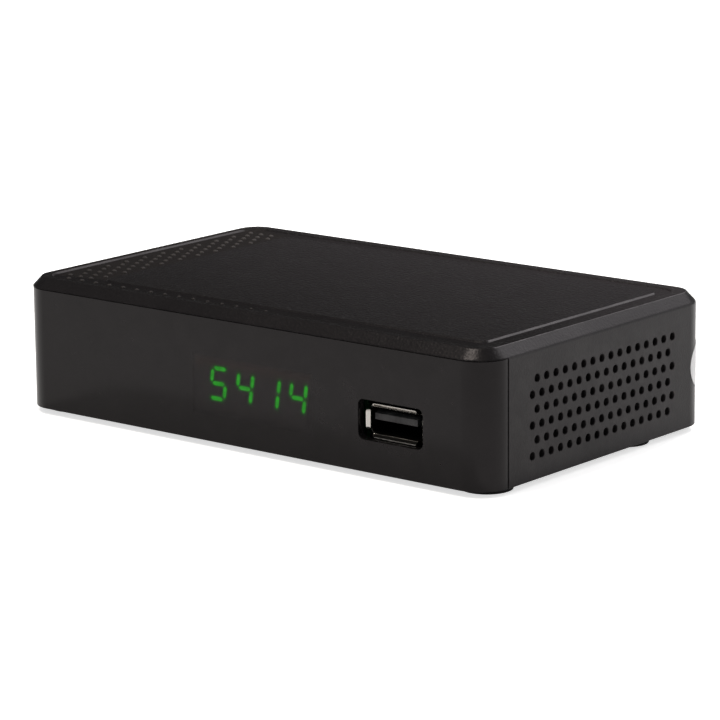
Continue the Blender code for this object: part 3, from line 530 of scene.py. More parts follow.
def newFinish(name):
    finish = bpy.data.materials.new(name)
    finish.use_nodes = True
    return finish, finish.node_tree, finish.node_tree.nodes["Principled BSDF"].inputs


# the lighter worn colour on the edges is partly a painted sheen
def wornAndSheenLayer(tree, layer, look):
    return placeGroup(tree, edgeWearAndSheen, {
        "Colour": layer["Colour"], "Roughness": layer["Roughness"], "Worn And Sheen Colour": look["wornAndSheen"],
        "Amount": look["wear"], "Worn Roughness": look["wornRoughness"]})


def dustyLayer(tree, layer, look):
    return placeGroup(tree, dustFilm, {
        "Colour": layer["Colour"], "Roughness": layer["Roughness"], "Film": look["film"],
        "Specks": look["specks"]})


def grainedFinish(name, look):
    # grain, then what the look asks for: a painted light gradient across the part, worn edges with painted sheen,
    # dust
    finish, tree, surface = newFinish(name)
    grain = placeGroup(tree, mouldGrain, {
        "Colour": look["colour"], "Tip Tone And Glint": look["tipsAndGlints"], "Size mm": look["grain"],
        "Tips": look["tipShare"], "Roughness": look["roughness"], "Spread": look["spread"]})
    layer = grain
    if "drift" in look:
        paintedLight = placeGroup(tree, paintedLightDrift, {
            "Colour": grain["Colour"], "Way": look["drift"], "Least": look["least"]})
        layer = {"Colour": paintedLight["Colour"], "Roughness": grain["Roughness"]}
    if "wear" in look:
        layer = wornAndSheenLayer(tree, layer, look)
    if "film" in look:
        layer = dustyLayer(tree, layer, look)
    feed(tree, surface, {
        "Base Color": layer["Colour"], "Roughness": layer["Roughness"], "Alpha": look.get("alpha", 1.0),
        "Normal": bumped(tree, grain["Height"], look["bump"], look.get("relief", look["grain"] / 2)),
        "Specular IOR Level": look["shine"], "Specular Tint": look.get("shineTint", (1.0, 1.0, 1.0))})
    return finish


def metalFinish(name, look):
    finish, tree, surface = newFinish(name)
    metal = placeGroup(tree, rolledMetal, {
        "Colour": look["colour"], "Dull Colour": look["dull"], "Lines": look["lines"],
        "Roughness": look["roughness"], "Spread": look["spread"]})
    layer = wornAndSheenLayer(tree, metal, look)
    feed(tree, surface, {
        "Base Color": layer["Colour"], "Roughness": layer["Roughness"], "Metallic": 1.0,
        "Normal": bumped(tree, metal["Height"], look["bump"], look["relief"])})
    return finish


smokedLook = dict(colour=(0.0036, 0.0032, 0.0034), roughness=0.15, smear=0.05, wornAndSheen=(0.020, 0.018, 0.019),
                  wear=0.5, wornRoughness=0.3, film=0.004, specks=0.06, shine=0.22,
                  shineTint=(1.0, 0.94, 0.96), bump=0.25, relief=0.2, opacity=0.82, border=1.4, inset=0.3 * mm,
                  deep=10 * mm)


def smokedPanelFinish(name, look):
    # glossy dark panel with faint wipe marks, clearer over the number module
    finish, tree, surface = newFinish(name)
    place = placeIn(tree)
    wipes = put(tree, "TexNoise", Scale=38.0, Detail=4.0, Roughness=0.6, Distortion=0.8, Vector=place)
    spread = ramp(tree, wipes.outputs["Fac"], 0.3, 0.7, look["roughness"] - look["smear"],
                  look["roughness"] + look["smear"])
    layer = dustyLayer(tree, wornAndSheenLayer(tree, {"Colour": look["colour"], "Roughness": spread}, look), look)
    low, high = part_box("number_display")
    middle, half = (low + high) / 2, (high - low) / 2
    tint = placeGroup(tree, windowTint, {
        "Middle": tuple(middle), "Half Size": (half.x - look["inset"], look["deep"], half.z - look["inset"]),
        "Border mm": look["border"], "Opacity": look["opacity"]})
    ripple = put(tree, "TexNoise", Scale=16.0, Detail=1.0, Vector=place)
    feed(tree, surface, {
        "Base Color": layer["Colour"], "Roughness": layer["Roughness"], "Alpha": tint["Alpha"],
        "Normal": bumped(tree, ripple.outputs["Fac"], look["bump"], look["relief"]),
        "Specular IOR Level": look["shine"], "Specular Tint": look["shineTint"]})
    return finish


litLook = dict(deep=(0.0, 0.50, 0.002), bright=(0.012, 0.80, 0.012), body=(0.02, 0.10, 0.02), strength=1.95,
               roughness=0.5)


def litBarFinish(name, look):
    # the glowing bars, a little uneven as light pipes are
    finish, tree, surface = newFinish(name)
    uneven = put(tree, "TexNoise", Scale=900.0, Detail=2.0, Vector=placeIn(tree))
    share = ramp(tree, uneven.outputs["Fac"], 0.3, 0.7)
    feed(tree, surface, {
        "Emission Color": blendColours(tree, share, look["deep"], look["bright"]),
        "Emission Strength": look["strength"], "Base Color": look["body"], "Roughness": look["roughness"]})
    return finish


foilLook = dict(colour=(0.012, 0.010, 0.009), tipsAndGlints=(0.020, 0.017, 0.015), grain=0.3, tipShare=0.5,
                roughness=0.5, spread=0.05, bump=0.1, relief=0.04, shine=0.2, paintedAmbient=(0.030, 0.027, 0.027),
                paintedWarmBand=(0.056, 0.036, 0.029), paintedHalo=(0.0, 0.25, 0.0), band=4.5 * mm, bandEnd=1.8 * mm)


def moduleFoilFinish(name, look):
    # dark foil that glows with painted light: a faint painted ambient glow, a warm band along its top painted in as
    # glow, and a painted green halo round the lit bars
    finish = grainedFinish(name, look)
    tree = finish.node_tree
    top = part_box("number_display")[1].z
    band = ramp(tree, axesOf(tree, placeIn(tree))["Z"], top - look["band"], top - look["bandEnd"],
                interpolation_type="SMOOTHSTEP")
    glow = put(tree, "Attribute", attribute_name="glow").outputs["Fac"]
    paintedBandGlow = blendColours(tree, band, look["paintedAmbient"], look["paintedWarmBand"])
    feed(tree, tree.nodes["Principled BSDF"].inputs, {
        "Emission Color": blendColours(tree, glow, paintedBandGlow, look["paintedHalo"]), "Emission Strength": 1.0})
    return finish


boardLook = dict(mask=(0.012, 0.085, 0.035), track=(0.030, 0.150, 0.060), pad=(0.50, 0.49, 0.45), film=0.03,
                 specks=0.2, roughness=0.38, bump=0.3, relief=0.04)


def boardFinish(name, look):
    # green solder mask with paler tracks and tinned pads
    finish, tree, surface = newFinish(name)
    place = placeIn(tree)
    cells = put(tree, "TexVoronoi", Scale=420.0, distance="MANHATTAN", feature="F1", Vector=place)
    lines = put(tree, "TexBrick", Scale=160.0, Mortar_Size=0.012, Bias=-0.2, Vector=place).outputs["Fac"]
    tracks = blendColours(tree, lines, look["mask"], look["track"])
    pads = ramp(tree, cells.outputs["Distance"], 0.16, 0.10)
    colour = blendColours(tree, pads, tracks, look["pad"])
    layer = dustyLayer(tree, {"Colour": colour, "Roughness": look["roughness"]}, look)
    feed(tree, surface, {"Base Color": layer["Colour"], "Roughness": layer["Roughness"],
                         "Normal": bumped(tree, lines, look["bump"], look["relief"])})
    return finish


finishes = {name: grainedFinish(name, look) for name, look in plasticLooks.items()}
finishes.update({name: metalFinish(name, look) for name, look in metalLooks.items()})
for name, build, look in (("smoked panel", smokedPanelFinish, smokedLook), ("board mask", boardFinish, boardLook),
                          ("lit bar green", litBarFinish, litLook), ("module foil", moduleFoilFinish, foilLook)):
    finishes[name] = build(name, look)
print("finishes built:", len(finishes))


# the case

caseLow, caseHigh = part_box("top_shell")
panelLow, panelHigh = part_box("front_panel")
case = {
    "cornerRadius": 6.5 * mm, "wall": 1.8 * mm, "chamferInset": 2.0 * mm, "chamferDrop": 2.1 * mm,
    "channelLeft": 3.65 * mm, "channelRight": 4.1 * mm, "channelFront": 3.4 * mm, "channelRear": 4.2 * mm,
    "channelRadius": 4.4 * mm, "channelDepth": 0.34 * mm, "channelSlope": 0.34 * mm, "channelToe": 0.04 * mm,
    "plateauLeft": 16.8 * mm, "plateauRight": 6.7 * mm, "plateauFront": 7.7 * mm, "plateauRear": 8.2 * mm,
    "plateauRadius": 2.0 * mm, "plateauSlope": 0.36 * mm, "seamSetback": 6.85 * mm, "panelSetback": 0.15 * mm,
    "chamferEase": 0.30 * mm, "lowerEase": 1.0 * mm, "baseEase": 0.15 * mm, "rimEase": 0.12 * mm,
    "cutEase": 0.06 * mm, "cornerSteps": 12, "miterTurn": 22.5, "chamferRun": 0.8 * mm, "rimRun": 0.3 * mm,
    "floorRun": 0.5 * mm, "plateauRun": 0.6 * mm, "near": 1e-6, "topFrom": 0.1 * mm, "facesUp": 0.3,
    "flatFrom": 0.97, "litAcross": 0.25, "litAlong": -0.15, "chamferMargin": 0.15 * mm,
}
frontY = panelLow.y - case["panelSetback"]  # the panel stands back a little from the case's outline
backY = caseHigh.y
baseZ, topZ = caseLow.z, caseHigh.z
halfWidth = caseHigh.x
chamferZ = topZ - case["chamferDrop"]
seamY = frontY + case["seamSetback"]


def caseOutline(inset):
    return roundedOutline(-halfWidth + inset, halfWidth - inset, frontY + inset, backY - inset,
                          case["cornerRadius"] - inset, case["cornerSteps"])


def channelOutline(inset):
    return roundedOutline(-halfWidth + case["channelLeft"] + inset, halfWidth - case["channelRight"] - inset,
                          frontY + case["channelFront"] + inset, backY - case["channelRear"] - inset,
                          case["channelRadius"] - inset, case["cornerSteps"])


def plateauOutline(grow):
    return roundedOutline(-halfWidth + case["plateauLeft"] - grow, halfWidth - case["plateauRight"] + grow,
                          frontY + case["plateauFront"] - grow, backY - case["plateauRear"] + grow,
                          case["plateauRadius"] + grow, case["cornerSteps"])


def insetOf(at):
    # how far a point lies inside the case's outline, seen from above
    radius = case["cornerRadius"]
    x, y = halfWidth - abs(at.x), min(at.y - frontY, backY - at.y)
    if x < radius and y < radius:
        return radius - math.hypot(radius - x, radius - y)
    return min(x, y)


def onPlateau(at):
    grow = case["plateauSlope"] / 2
    return (-halfWidth + case["plateauLeft"] - grow < at.x < halfWidth - case["plateauRight"] + grow
            and frontY + case["plateauFront"] - grow < at.y < backY - case["plateauRear"] + grow)


caseKinds = ["case sides", "case top", "case channel", "case rims painted highlight", "case chamfer and painted shade", "stud ground"]


def caseKind(at, way):
    # which of the shell's finishes a face wears: sloping faces turned towards the lamps get the lighter rim finish as
    # a painted highlight, and unlit sloping faces at the front get the darker chamfer finish as painted shade
    if at.z < chamferZ + case["topFrom"] or way.z < case["facesUp"]:
        return "case sides"
    sloping = way.z < case["flatFrom"]
    lit = way.x > case["litAcross"] and way.y > case["litAlong"]
    dull = at.x > halfWidth - case["plateauRight"] - case["plateauRadius"]
    onChamfer = insetOf(at) < case["chamferInset"] - case["chamferMargin"]
    if onChamfer or (sloping and not lit and not dull and at.y < 0):
        return "case chamfer and painted shade"
    if sloping and lit:
        return "case rims painted highlight"
    if at.x < -halfWidth + case["plateauLeft"] and at.y > frontY + case["plateauFront"]:
        return "stud ground"
    return "case top" if onPlateau(at) else "case channel"


vents = {
    "radius": 0.80 * mm, "flare": 0.10 * mm, "rows": 6, "columns": 16, "pitch": 3.0 * mm,
    "first": 14.25 * mm, "low": 4.8 * mm, "sides": 18,
}
window = {"side": 7.0 * mm, "low": 4.2 * mm, "high": 23.1 * mm, "radius": 1.5 * mm, "ease": 0.3 * mm, "steps": 6}


def ventMouths():
    for row in range(vents["rows"]):
        shift = vents["pitch"] / 2 if row % 2 else 0
        for column in range(vents["columns"]):
            yield (frontY + vents["first"] + shift + column * vents["pitch"],
                   baseZ + vents["low"] + row * vents["pitch"])


def caseRings():
    # from inside the wall round the base, up the chamfer, down the channel and onto the plateau
    wall, inset, ease = case["wall"], case["chamferInset"], case["rimEase"]
    floor, run = topZ - case["channelDepth"], case["floorRun"]
    miter = wall * math.tan(math.radians(case["miterTurn"]))
    walls = [(wall + inset - (wall - miter), topZ - wall), (wall, chamferZ - miter), (wall, baseZ)]
    walls += softenedProfile([(wall, baseZ, 0), (0, baseZ, case["baseEase"]), (0, chamferZ, case["lowerEase"]),
                              (inset, topZ, case["chamferEase"]), (inset + case["chamferRun"], topZ, 0)])[1:]
    slope = case["channelSlope"]
    down = softenedProfile([(-case["rimRun"], topZ, 0), (0, topZ, ease), (slope, topZ - slope, ease),
                            (slope + case["channelToe"], floor, ease), (slope + run, floor, 0)])
    slope = case["plateauSlope"]
    up = softenedProfile([(slope + run, floor, 0), (slope, floor, ease), (0, topZ, ease),
                          (-case["plateauRun"], topZ, 0)])
    for outline, profile in ((caseOutline, walls), (channelOutline, down[1:]), (plateauOutline, up)):
        for reach, z in profile:
            yield [(x, y, z) for x, y in outline(reach)]


def buildCaseShell():
    wall, over, ease = case["wall"], meshing["over"], window["ease"]
    shell = ringPiece("caseShell", list(caseRings()))
    cutBox(shell, (-halfWidth - over, frontY - over, baseZ - over), (halfWidth + over, seamY, chamferZ))

    mouths = []  # the rear window, with an eased mouth
    low = (-halfWidth + window["side"], baseZ + window["low"])
    high = (halfWidth - window["side"], baseZ + window["high"])
    for grow, y in ((0, backY - wall - over), (0, backY - ease), (ease, backY), (ease + over, backY + over)):
        mouths.append(uprightRing(low, high, grow, window["radius"] + grow, window["steps"], y))
    cutRings(shell, mouths)

    bm = bmesh.new()  # vents in both sides, each with an eased mouth
    radius, flare = vents["radius"], vents["flare"]
    for way in (-1, 1):
        profile = [(radius, way * (halfWidth - wall - over)), (radius, way * (halfWidth - flare)),
                   (radius + flare, way * halfWidth), (radius + 2 * flare, way * (halfWidth + flare))]
        for mouth in ventMouths():
            turnedInto(bm, profile, mouth, "X", vents["sides"])
    cutAway(shell, bm)

    def onCut(a, b):
        near = case["near"]
        atSeam = all(abs(p.y - seamY) < near for p in (a, b)) and max(abs(a.x), abs(b.x)) > halfWidth - 10 * near
        underLip = all(abs(p.z - chamferZ) < near and p.y <= seamY + near for p in (a, b))
        return atSeam or (underLip and a.y < seamY - near)

    easeEdges(shell, case["cutEase"], picked=onCut)
    finishPiece(shell, caseKinds, "top_shell")
    for face in shell.data.polygons:
        face.material_index = caseKinds.index(caseKind(face.center, face.normal))


buildCaseShell()
print("case shell built")

studs = {
    "pitch": 2.95 * mm, "rowPitch": 2.84 * mm, "middleX": -49.90 * mm, "firstY": -32.90 * mm, "rows": 21,
    "perRow": 3, "stagger": 0.25, "radius": 0.56 * mm, "height": 0.38 * mm, "sink": 0.05 * mm,
    "levels": (0, 18, 36, 52, 66, 80), "sides": 14, "frontX": -51.40 * mm, "frontY": -35.65 * mm,
    "frontPitch": 3.83 * mm, "frontCount": 15, "fade": 0.45,
}


def buildGripStuds():
    # low domes in the channel: a staggered field on the left and one row along the front
    floor = topZ - case["channelDepth"]
    bm = bmesh.new()

    def dome(x, y, size):
        profile = [(size * studs["radius"] * math.cos(turn), floor + size * studs["height"] * math.sin(turn))
                   for turn in map(math.radians, studs["levels"])]
        turnedInto(bm, [(profile[0][0], floor - studs["sink"])] + profile, (x, y), "Z", studs["sides"])

    for row in range(studs["rows"]):
        shift = studs["stagger"] if row % 2 else -studs["stagger"]
        for column in range(studs["perRow"]):
            x = studs["middleX"] + (column - (studs["perRow"] - 1) / 2 + shift) * studs["pitch"]
            dome(x, studs["firstY"] + row * studs["rowPitch"], 1.0)
    for index in range(studs["frontCount"]):
        size = 1.0 - studs["fade"] * index / studs["frontCount"]
        dome(studs["frontX"] + index * studs["frontPitch"], studs["frontY"], size)
    finishPiece(meshPiece("gripStuds", bm), "stud tops", wornAndSheen=False)


buildGripStuds()
print("grip studs built")


# front panel

panel = {
    "wall": 1.65 * mm, "seamGap": 0.06 * mm, "topGap": 0.07 * mm, "topEase": 0.12 * mm, "innerEase": 0.6,
    "endEase": 0.12 * mm, "endShare": 0.3, "endThin": 0.5, "bendSteps": 14, "sharpFrom": 40,
    "apertureWidth": 15.7 * mm, "apertureHeight": 7.8 * mm, "apertureRise": 0.2 * mm,
    "apertureRadius": 1.2 * mm, "apertureEase": 0.18 * mm, "apertureSteps": 6, "cutDepth": 3 * mm,
    "skin": 1.1 * mm, "pocketMargin": 0.6 * mm, "near": 0.1 * mm, "facesBack": 0.9, "usbLeft": 0.2 * mm,
    "usbDown": 0.9 * mm,
}
usbLow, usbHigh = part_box("usb_tongue")
usbX = (usbLow.x + usbHigh.x) / 2 - panel["usbLeft"]
usbZ = (usbLow.z + usbHigh.z) / 2 - panel["usbDown"]
moduleLow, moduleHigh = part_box("number_display")


def panelStations(radius, front, end):
    # where the strip's sections stand, which way each faces, and how far its ends are eased
    middleX, middleY = -halfWidth + case["panelSetback"] + radius, front + radius
    tip, share, steps = panel["endEase"], panel["endShare"], panel["bendSteps"]
    first = math.asin((middleY - end) / radius)
    turns = [(first, tip), (first + share * tip / radius, share * tip)]
    swing = math.pi / 2 - first - tip / radius
    turns += [(first + tip / radius + swing * step / steps, 0) for step in range(steps + 1)]
    stations = []
    for turn, sink in turns:
        way = (-math.cos(turn), -math.sin(turn))
        stations.append((middleX + way[0] * radius, middleY + way[1] * radius, way, sink))
    return stations + [(-x, y, (-way[0], way[1]), sink) for x, y, way, sink in reversed(stations)]


def buildFrontPanel():
    # a strip swept round both front corners, with eased top, bottom and ends
    bottom, top = panelLow.z, chamferZ - panel["topGap"]
    thick, ease, over = panel["wall"], panel["topEase"], meshing["over"]
    inner = ease * panel["innerEase"]
    section = softenedProfile([(0, (bottom + top) / 2, 0), (0, top, ease), (thick, top, inner),
                               (thick, bottom, inner), (0, bottom, ease), (0, (bottom + top) / 2, 0)])[:-1]
    front, end = frontY + case["panelSetback"], seamY - panel["seamGap"]
    rings = []
    for x, y, way, sink in panelStations(case["cornerRadius"] - case["panelSetback"], front, end):
        ring = []
        for inward, z in section:
            deep = min(max(inward, sink), thick - sink * panel["endThin"])
            ring.append((x - way[0] * deep, y - way[1] * deep, min(max(z, bottom + sink), top - sink)))
        rings.append(ring)
    piece = ringPiece("frontPanel", rings)

    ease, back = panel["apertureEase"], frontY + panel["cutDepth"]  # the USB opening
    share = ease * panel["endShare"]
    half, tall = panel["apertureWidth"] / 2, panel["apertureHeight"] / 2
    middle = usbZ + panel["apertureRise"]
    mouths = []
    for grow, y in ((over + ease, front - over), (ease, front), (share, front + share), (0, front + ease), (0, back)):
        mouths.append(uprightRing((usbX - half, middle - tall), (usbX + half, middle + tall), grow,
                                  panel["apertureRadius"] + grow, panel["apertureSteps"], y))
    cutRings(piece, mouths)

    margin, skin = panel["pocketMargin"], front + panel["skin"]  # the pocket behind the window
    cutBox(piece, (moduleLow.x - margin, skin, moduleLow.z - margin),
           (moduleHigh.x + margin, back, moduleHigh.z + margin))
    finishPiece(piece, ["smoked panel", "window rear"], "front_panel", panel["sharpFrom"])
    for face in piece.data.polygons:
        at = face.center
        onSkin = face.normal.y > panel["facesBack"] and abs(at.y - skin) < panel["near"]
        if onSkin and moduleLow.x < at.x < moduleHigh.x:
            face.material_index = 1


buildFrontPanel()
print("front panel built")

number = {
    "text": "5414", "height": 7.04 * mm, "width": 3.69 * mm, "pitch": 6.85 * mm, "lean": 0.98 * mm,
    "bar": 0.86 * mm, "gap": 0.26 * mm, "behind": 0.10 * mm, "proud": 0.07 * mm, "faceSize": 0.93,
    "right": 0.40 * mm, "up": 0.19 * mm, "foilProud": 0.03 * mm, "foilThick": 0.9, "foilCell": 0.25 * mm,
    "glowBar": 0.3, "spread": 0.40 * mm,
}
litBars = {"0": "abcdef", "1": "bc", "2": "abged", "3": "abgcd", "4": "fgbc", "5": "afgcd", "6": "afgcde",
           "7": "abc", "8": "abcdefg", "9": "abcdfg"}
barSpots = {"a": ((-1, 1), (1, 1)), "b": ((1, 0), (1, 1)), "c": ((1, -1), (1, 0)), "d": ((-1, -1), (1, -1)),
            "e": ((-1, -1), (-1, 0)), "f": ((-1, 0), (-1, 1)), "g": ((-1, 0), (1, 0))}


def barEnds(place, letter):
    # the two ends of one bar of the digit at this place, in x and z
    half, tall = number["width"] / 2, (number["height"] - number["bar"]) / 2
    middle = (moduleLow + moduleHigh) / 2
    x = middle.x + number["right"] + (place - (len(number["text"]) - 1) / 2) * number["pitch"]
    z = middle.z + number["up"]
    return [Vector((x + column * half + row * number["lean"] / 2, z + row * tall))
            for column, row in barSpots[letter]]


def buildNumber():
    face, half, gap = moduleLow.y, number["bar"] / 2, number["gap"]
    for place, digit in enumerate(number["text"]):
        bm = bmesh.new()
        for letter in litBars[digit]:
            start, stop = barEnds(place, letter)
            along = (stop - start).normalized()
            across = Vector((-along.y, along.x))
            first, last = start + along * gap, stop - along * gap
            outline = [first, first + (along - across) * half, last - (along + across) * half, last,
                       last - (along - across) * half, first + (along + across) * half]
            centre = (start + stop) / 2
            rings = []
            for y, size in ((face + number["behind"], 1.0), (face - number["proud"] / 2, 1.0),
                            (face - number["proud"], number["faceSize"])):
                rings.append([(centre.x + (p.x - centre.x) * size, y, centre.y + (p.y - centre.y) * size)
                              for p in outline])
            ringsInto(bm, rings)
        finishPiece(meshPiece("digit%d" % (place + 1), bm), "lit bar green", wornAndSheen=False)


def buildModuleFoil():
    # a thin printed foil before the module; a point attribute is high round the lit bars, for the painted halo of
    # their light
    bars, hug = [], number["bar"] * number["glowBar"]
    for place, digit in enumerate(number["text"]):
        for start, stop in (barEnds(place, letter) for letter in litBars[digit]):
            inward = (stop - start).normalized() * (number["gap"] + hug)
            bars.append((start + inward, stop - inward))
    low, high, cell = moduleLow, moduleHigh, number["foilCell"]
    across, tall = round((high.x - low.x) / cell), round((high.z - low.z) / cell)
    bm = bmesh.new()
    front = low.y - number["foilProud"]
    rows = [[(low.x + (high.x - low.x) * i / across, front, low.z + (high.z - low.z) * j / tall)
             for i in range(across + 1)] for j in range(tall + 1)]
    ringsInto(bm, rows, closed=False, capped=False)
    grown = bmesh.ops.extrude_face_region(bm, geom=bm.faces[:])
    back = [item for item in grown["geom"] if isinstance(item, bmesh.types.BMVert)]
    bmesh.ops.translate(bm, verts=back, vec=(0, number["foilProud"] * number["foilThick"], 0))
    piece = meshPiece("moduleFoil", bm)
    glow = []
    for vert in piece.data.vertices:
        spot, near = Vector((vert.co.x, vert.co.z)), 1.0
        for start, stop in bars:
            share = max(0.0, min(1.0, (spot - start).dot(stop - start) / (stop - start).length_squared))
            near = min(near, (spot - start.lerp(stop, share)).length)
        glow.append(math.exp(-(max(0.0, near - hug) / number["spread"]) ** 2))
    piece.data.attributes.new("glow", "FLOAT", "POINT").data.foreach_set("value", glow)
    finishPiece(piece, "module foil", wornAndSheen=False)


buildNumber()
buildModuleFoil()
print("number built")


# USB port

usb = {
    "boreWidth": 12.5 * mm, "boreHeight": 5.12 * mm, "sheet": 0.30 * mm, "radius": 0.55 * mm, "tubeSteps": 5,
    "flare": 0.92 * mm, "lipDepth": 1.05 * mm, "topLip": 11.0 * mm, "sideLip": 3.85 * mm,
    "lipCorner": 0.60 * mm, "lipTrim": 0.70, "lipLean": 58.0, "lipBend": 0.45 * mm, "lipSteps": 6,
    "bottomDrop": 0.12 * mm, "topDrop": 0.12 * mm, "boreReach": 0.6, "boreSides": 0.05, "boreStart": 0.01 * mm,
    "lowEnd": 0.7, "lowEndTurn": 0.12, "lipFacing": 0.4, "paintedShadeLip": -0.8, "paintedDimLip": -0.6,
}
tongue = {
    "trim": 0.7 * mm, "radius": 0.10 * mm, "steps": 3,
    "sections": ((0, 0.06, 0.50), (0.05, 0.02, 0.45), (0.9, 0.0, 0.1), (1.2, 0.0, 0.0)),
    "springDrop": 0.01 * mm, "springThick": 0.15 * mm, "springSetback": 3.5 * mm,
    "springDips": ((0.0, 0.0), (0.06, 0.0), (0.2, 0.18), (0.34, 0.22), (0.5, 0.08), (0.62, 0.0), (1.0, 0.0)),
}
canLow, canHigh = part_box("usb_shell")
halfBore, halfTall = usb["boreWidth"] / 2, usb["boreHeight"] / 2


def tubeRing(grow, y):
    return uprightRing((usbX - halfBore, usbZ - halfTall - usb["bottomDrop"]),
                       (usbX + halfBore, usbZ + halfTall - usb["topDrop"]), grow, usb["radius"] + grow,
                       usb["tubeSteps"], y)


def lipProfile():
    # from the bore round the bend to the tip, round its rim, and back along the outer face
    sheet, steps = usb["sheet"], usb["lipSteps"]
    lean, bend, rim = math.radians(usb["lipLean"]), usb["lipBend"], sheet / 2
    across = Vector((math.cos(lean), math.sin(lean)))
    tip = Vector((usb["flare"] - rim * (1 + across.x), rim * (1 - across.y)))
    length = (tip.x - bend * (1 - across.x)) / across.y
    first = tip.y + length * across.x + bend * across.y
    turns = [lean * step / steps for step in range(steps + 1)]
    inner = [(bend * (1 - math.cos(turn)), first - bend * math.sin(turn)) for turn in turns]
    middle, onward = tip + across * rim, Vector((across.y, -across.x))
    rims = []
    for step in range(1, steps):
        turn = math.pi * step / steps
        rims.append(middle - across * rim * math.cos(turn) + onward * rim * math.sin(turn))
    slim = bend - sheet
    outer = [(bend - slim * math.cos(turn), first - slim * math.sin(turn)) for turn in reversed(turns)]
    points = [(0.0, usb["lipDepth"])] + inner + [tip] + rims + [tip + across * sheet] + outer
    return [(point[0], point[1]) for point in points + [(sheet, usb["lipDepth"])]]


def lipRings(way, length, base):
    # one lip with rounded corners, swept along its side of the bore
    corner, half = usb["lipCorner"], usb["lipSteps"]
    for step in range(-half, half + 1):
        turn = math.pi * step / (2 * half)
        along = math.sin(turn) * corner + math.copysign(length / 2 - corner, step) if step else 0.0
        trim = usb["lipTrim"] * (1 - math.cos(turn)) if abs(step) > 1 else 0.0
        ring = []
        for out, y in lipProfile():
            reach = base + out * (1 - trim)
            ring.append((usbX + way[0] * reach + abs(way[1]) * along, canLow.y + y,
                         usbZ + way[1] * reach + abs(way[0]) * along))
        yield ring


def buildUsbCan():
    # folded sheet: a long tube with a back wall and four flared lips
    sheet, back, start = usb["sheet"], canHigh.y, canLow.y + usb["lipDepth"]
    bm = bmesh.new()
    ringsInto(bm, [tubeRing(0, back - meshing["over"]), tubeRing(0, start), tubeRing(sheet, start),
                   tubeRing(sheet, back)])
    for way, length, base in (((0, 1), usb["topLip"], halfTall - usb["topDrop"]),
                              ((0, -1), usb["topLip"], halfTall + usb["bottomDrop"]),
                              ((1, 0), usb["sideLip"], halfBore), ((-1, 0), usb["sideLip"], halfBore)):
        ringsInto(bm, list(lipRings(way, length, base)))
    can = meshPiece("usbCan", bm)
    finishPiece(can, ["nickel shell", "shell painted shade", "nickel painted dim"], "usb_shell")
    # the bore, the low ends and the bottom lip's slope get a dark copy of the nickel as painted shade; the left lip's
    # faces turned front and right get a dimmer copy as a painted dimmer reflection
    reach = sheet * usb["boreReach"]
    for face in can.data.polygons:
        at, way = face.center, face.normal
        within = abs(at.x - usbX) < halfBore + reach and abs(at.z - usbZ) < halfTall + usb["bottomDrop"] + reach
        inBore = within and (abs(way.y) < usb["boreSides"] or at.y > start - usb["boreStart"])
        lowEnd = at.z < usbZ - halfTall * usb["lowEnd"] and abs(way.x) > usb["lowEndTurn"]
        if inBore or lowEnd or (way.y < usb["paintedShadeLip"] and way.z > usb["lipFacing"]):
            face.material_index = 1
        elif way.y < usb["paintedDimLip"] and way.x > usb["lipFacing"]:
            face.material_index = 2


def buildUsbTongue():
    # a moulded tongue with a lead-in slope on top, and four springs along its underside
    low, high = usbLow, usbHigh
    rings = []
    for push, sink, lead in tongue["sections"]:
        rings.append(uprightRing((low.x, low.z), (high.x - tongue["trim"], high.z), -sink * mm, tongue["radius"],
                                 tongue["steps"], low.y + push * mm, lead * mm))
    rings.append([(x, high.y, z) for x, y, z in rings[-1]])
    finishPiece(ringPiece("usbTongue", rings), "tongue grey", "usb_tongue")
    top, thick, setback = low.z - tongue["springDrop"], tongue["springThick"], tongue["springSetback"]
    for index in range(1, 5):
        name = "usb_contact_%d" % index
        low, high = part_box(name)
        rings = []
        for share, dip in tongue["springDips"]:
            y, z = low.y + setback + share * (high.y - low.y - setback), top - dip * mm
            rings.append([(low.x, y, z), (high.x, y, z), (high.x, y, z - thick), (low.x, y, z - thick)])
        finishPiece(ringPiece("usbSpring%d" % index, rings), "contact gold", name)


buildUsbCan()
buildUsbTongue()
print("USB port built")

seal = {"radius": 4.85 * mm, "front": 0.15 * mm, "z": 13.45 * mm, "thickness": 0.09 * mm, "lift": 0.01 * mm,
        "sides": 64, "under": (0.04, 0.25, 0.5, 0.75, 0.9, 1.0), "outer": (0.995, 0.97, 0.9, 0.75, 0.5, 0.25, 0.04)}


def buildSeal():
    # a blank round seal wrapped over the rear right edge
    radius = case["cornerRadius"]
    middle = seal["front"] + seal["radius"]
    arc = radius * math.pi / 2

    def wrapped(s, z, lift):
        if s < 0:
            return (halfWidth + lift, backY - radius + s, z)
        if s < arc:
            turn = s / radius
            return (halfWidth - radius + (radius + lift) * math.cos(turn),
                    backY - radius + (radius + lift) * math.sin(turn), z)
        return (halfWidth - radius - (s - arc), backY + lift, z)

    rings = []
    layers = [(share, seal["lift"]) for share in seal["under"]]
    layers += [(share, seal["lift"] + seal["thickness"]) for share in seal["outer"]]
    for share, lift in layers:
        ring = []
        for side in range(seal["sides"]):
            turn = 2 * math.pi * side / seal["sides"]
            ring.append(wrapped(middle + seal["radius"] * share * math.cos(turn),
                                seal["z"] + seal["radius"] * share * math.sin(turn), lift))
        rings.append(ring)
    finishPiece(ringPiece("blankSeal", rings), "seal paper")


buildSeal()
print("seal built")


# feet

foot = {"flange": 0.70 * mm, "clear": 0.05 * mm, "hollow": 0.25 * mm, "sole": 1.5 * mm, "rim": 1.2 * mm,
        "ease": 0.1 * mm, "flangeEase": 0.15 * mm, "middle": 0.4 * mm, "sides": 48}


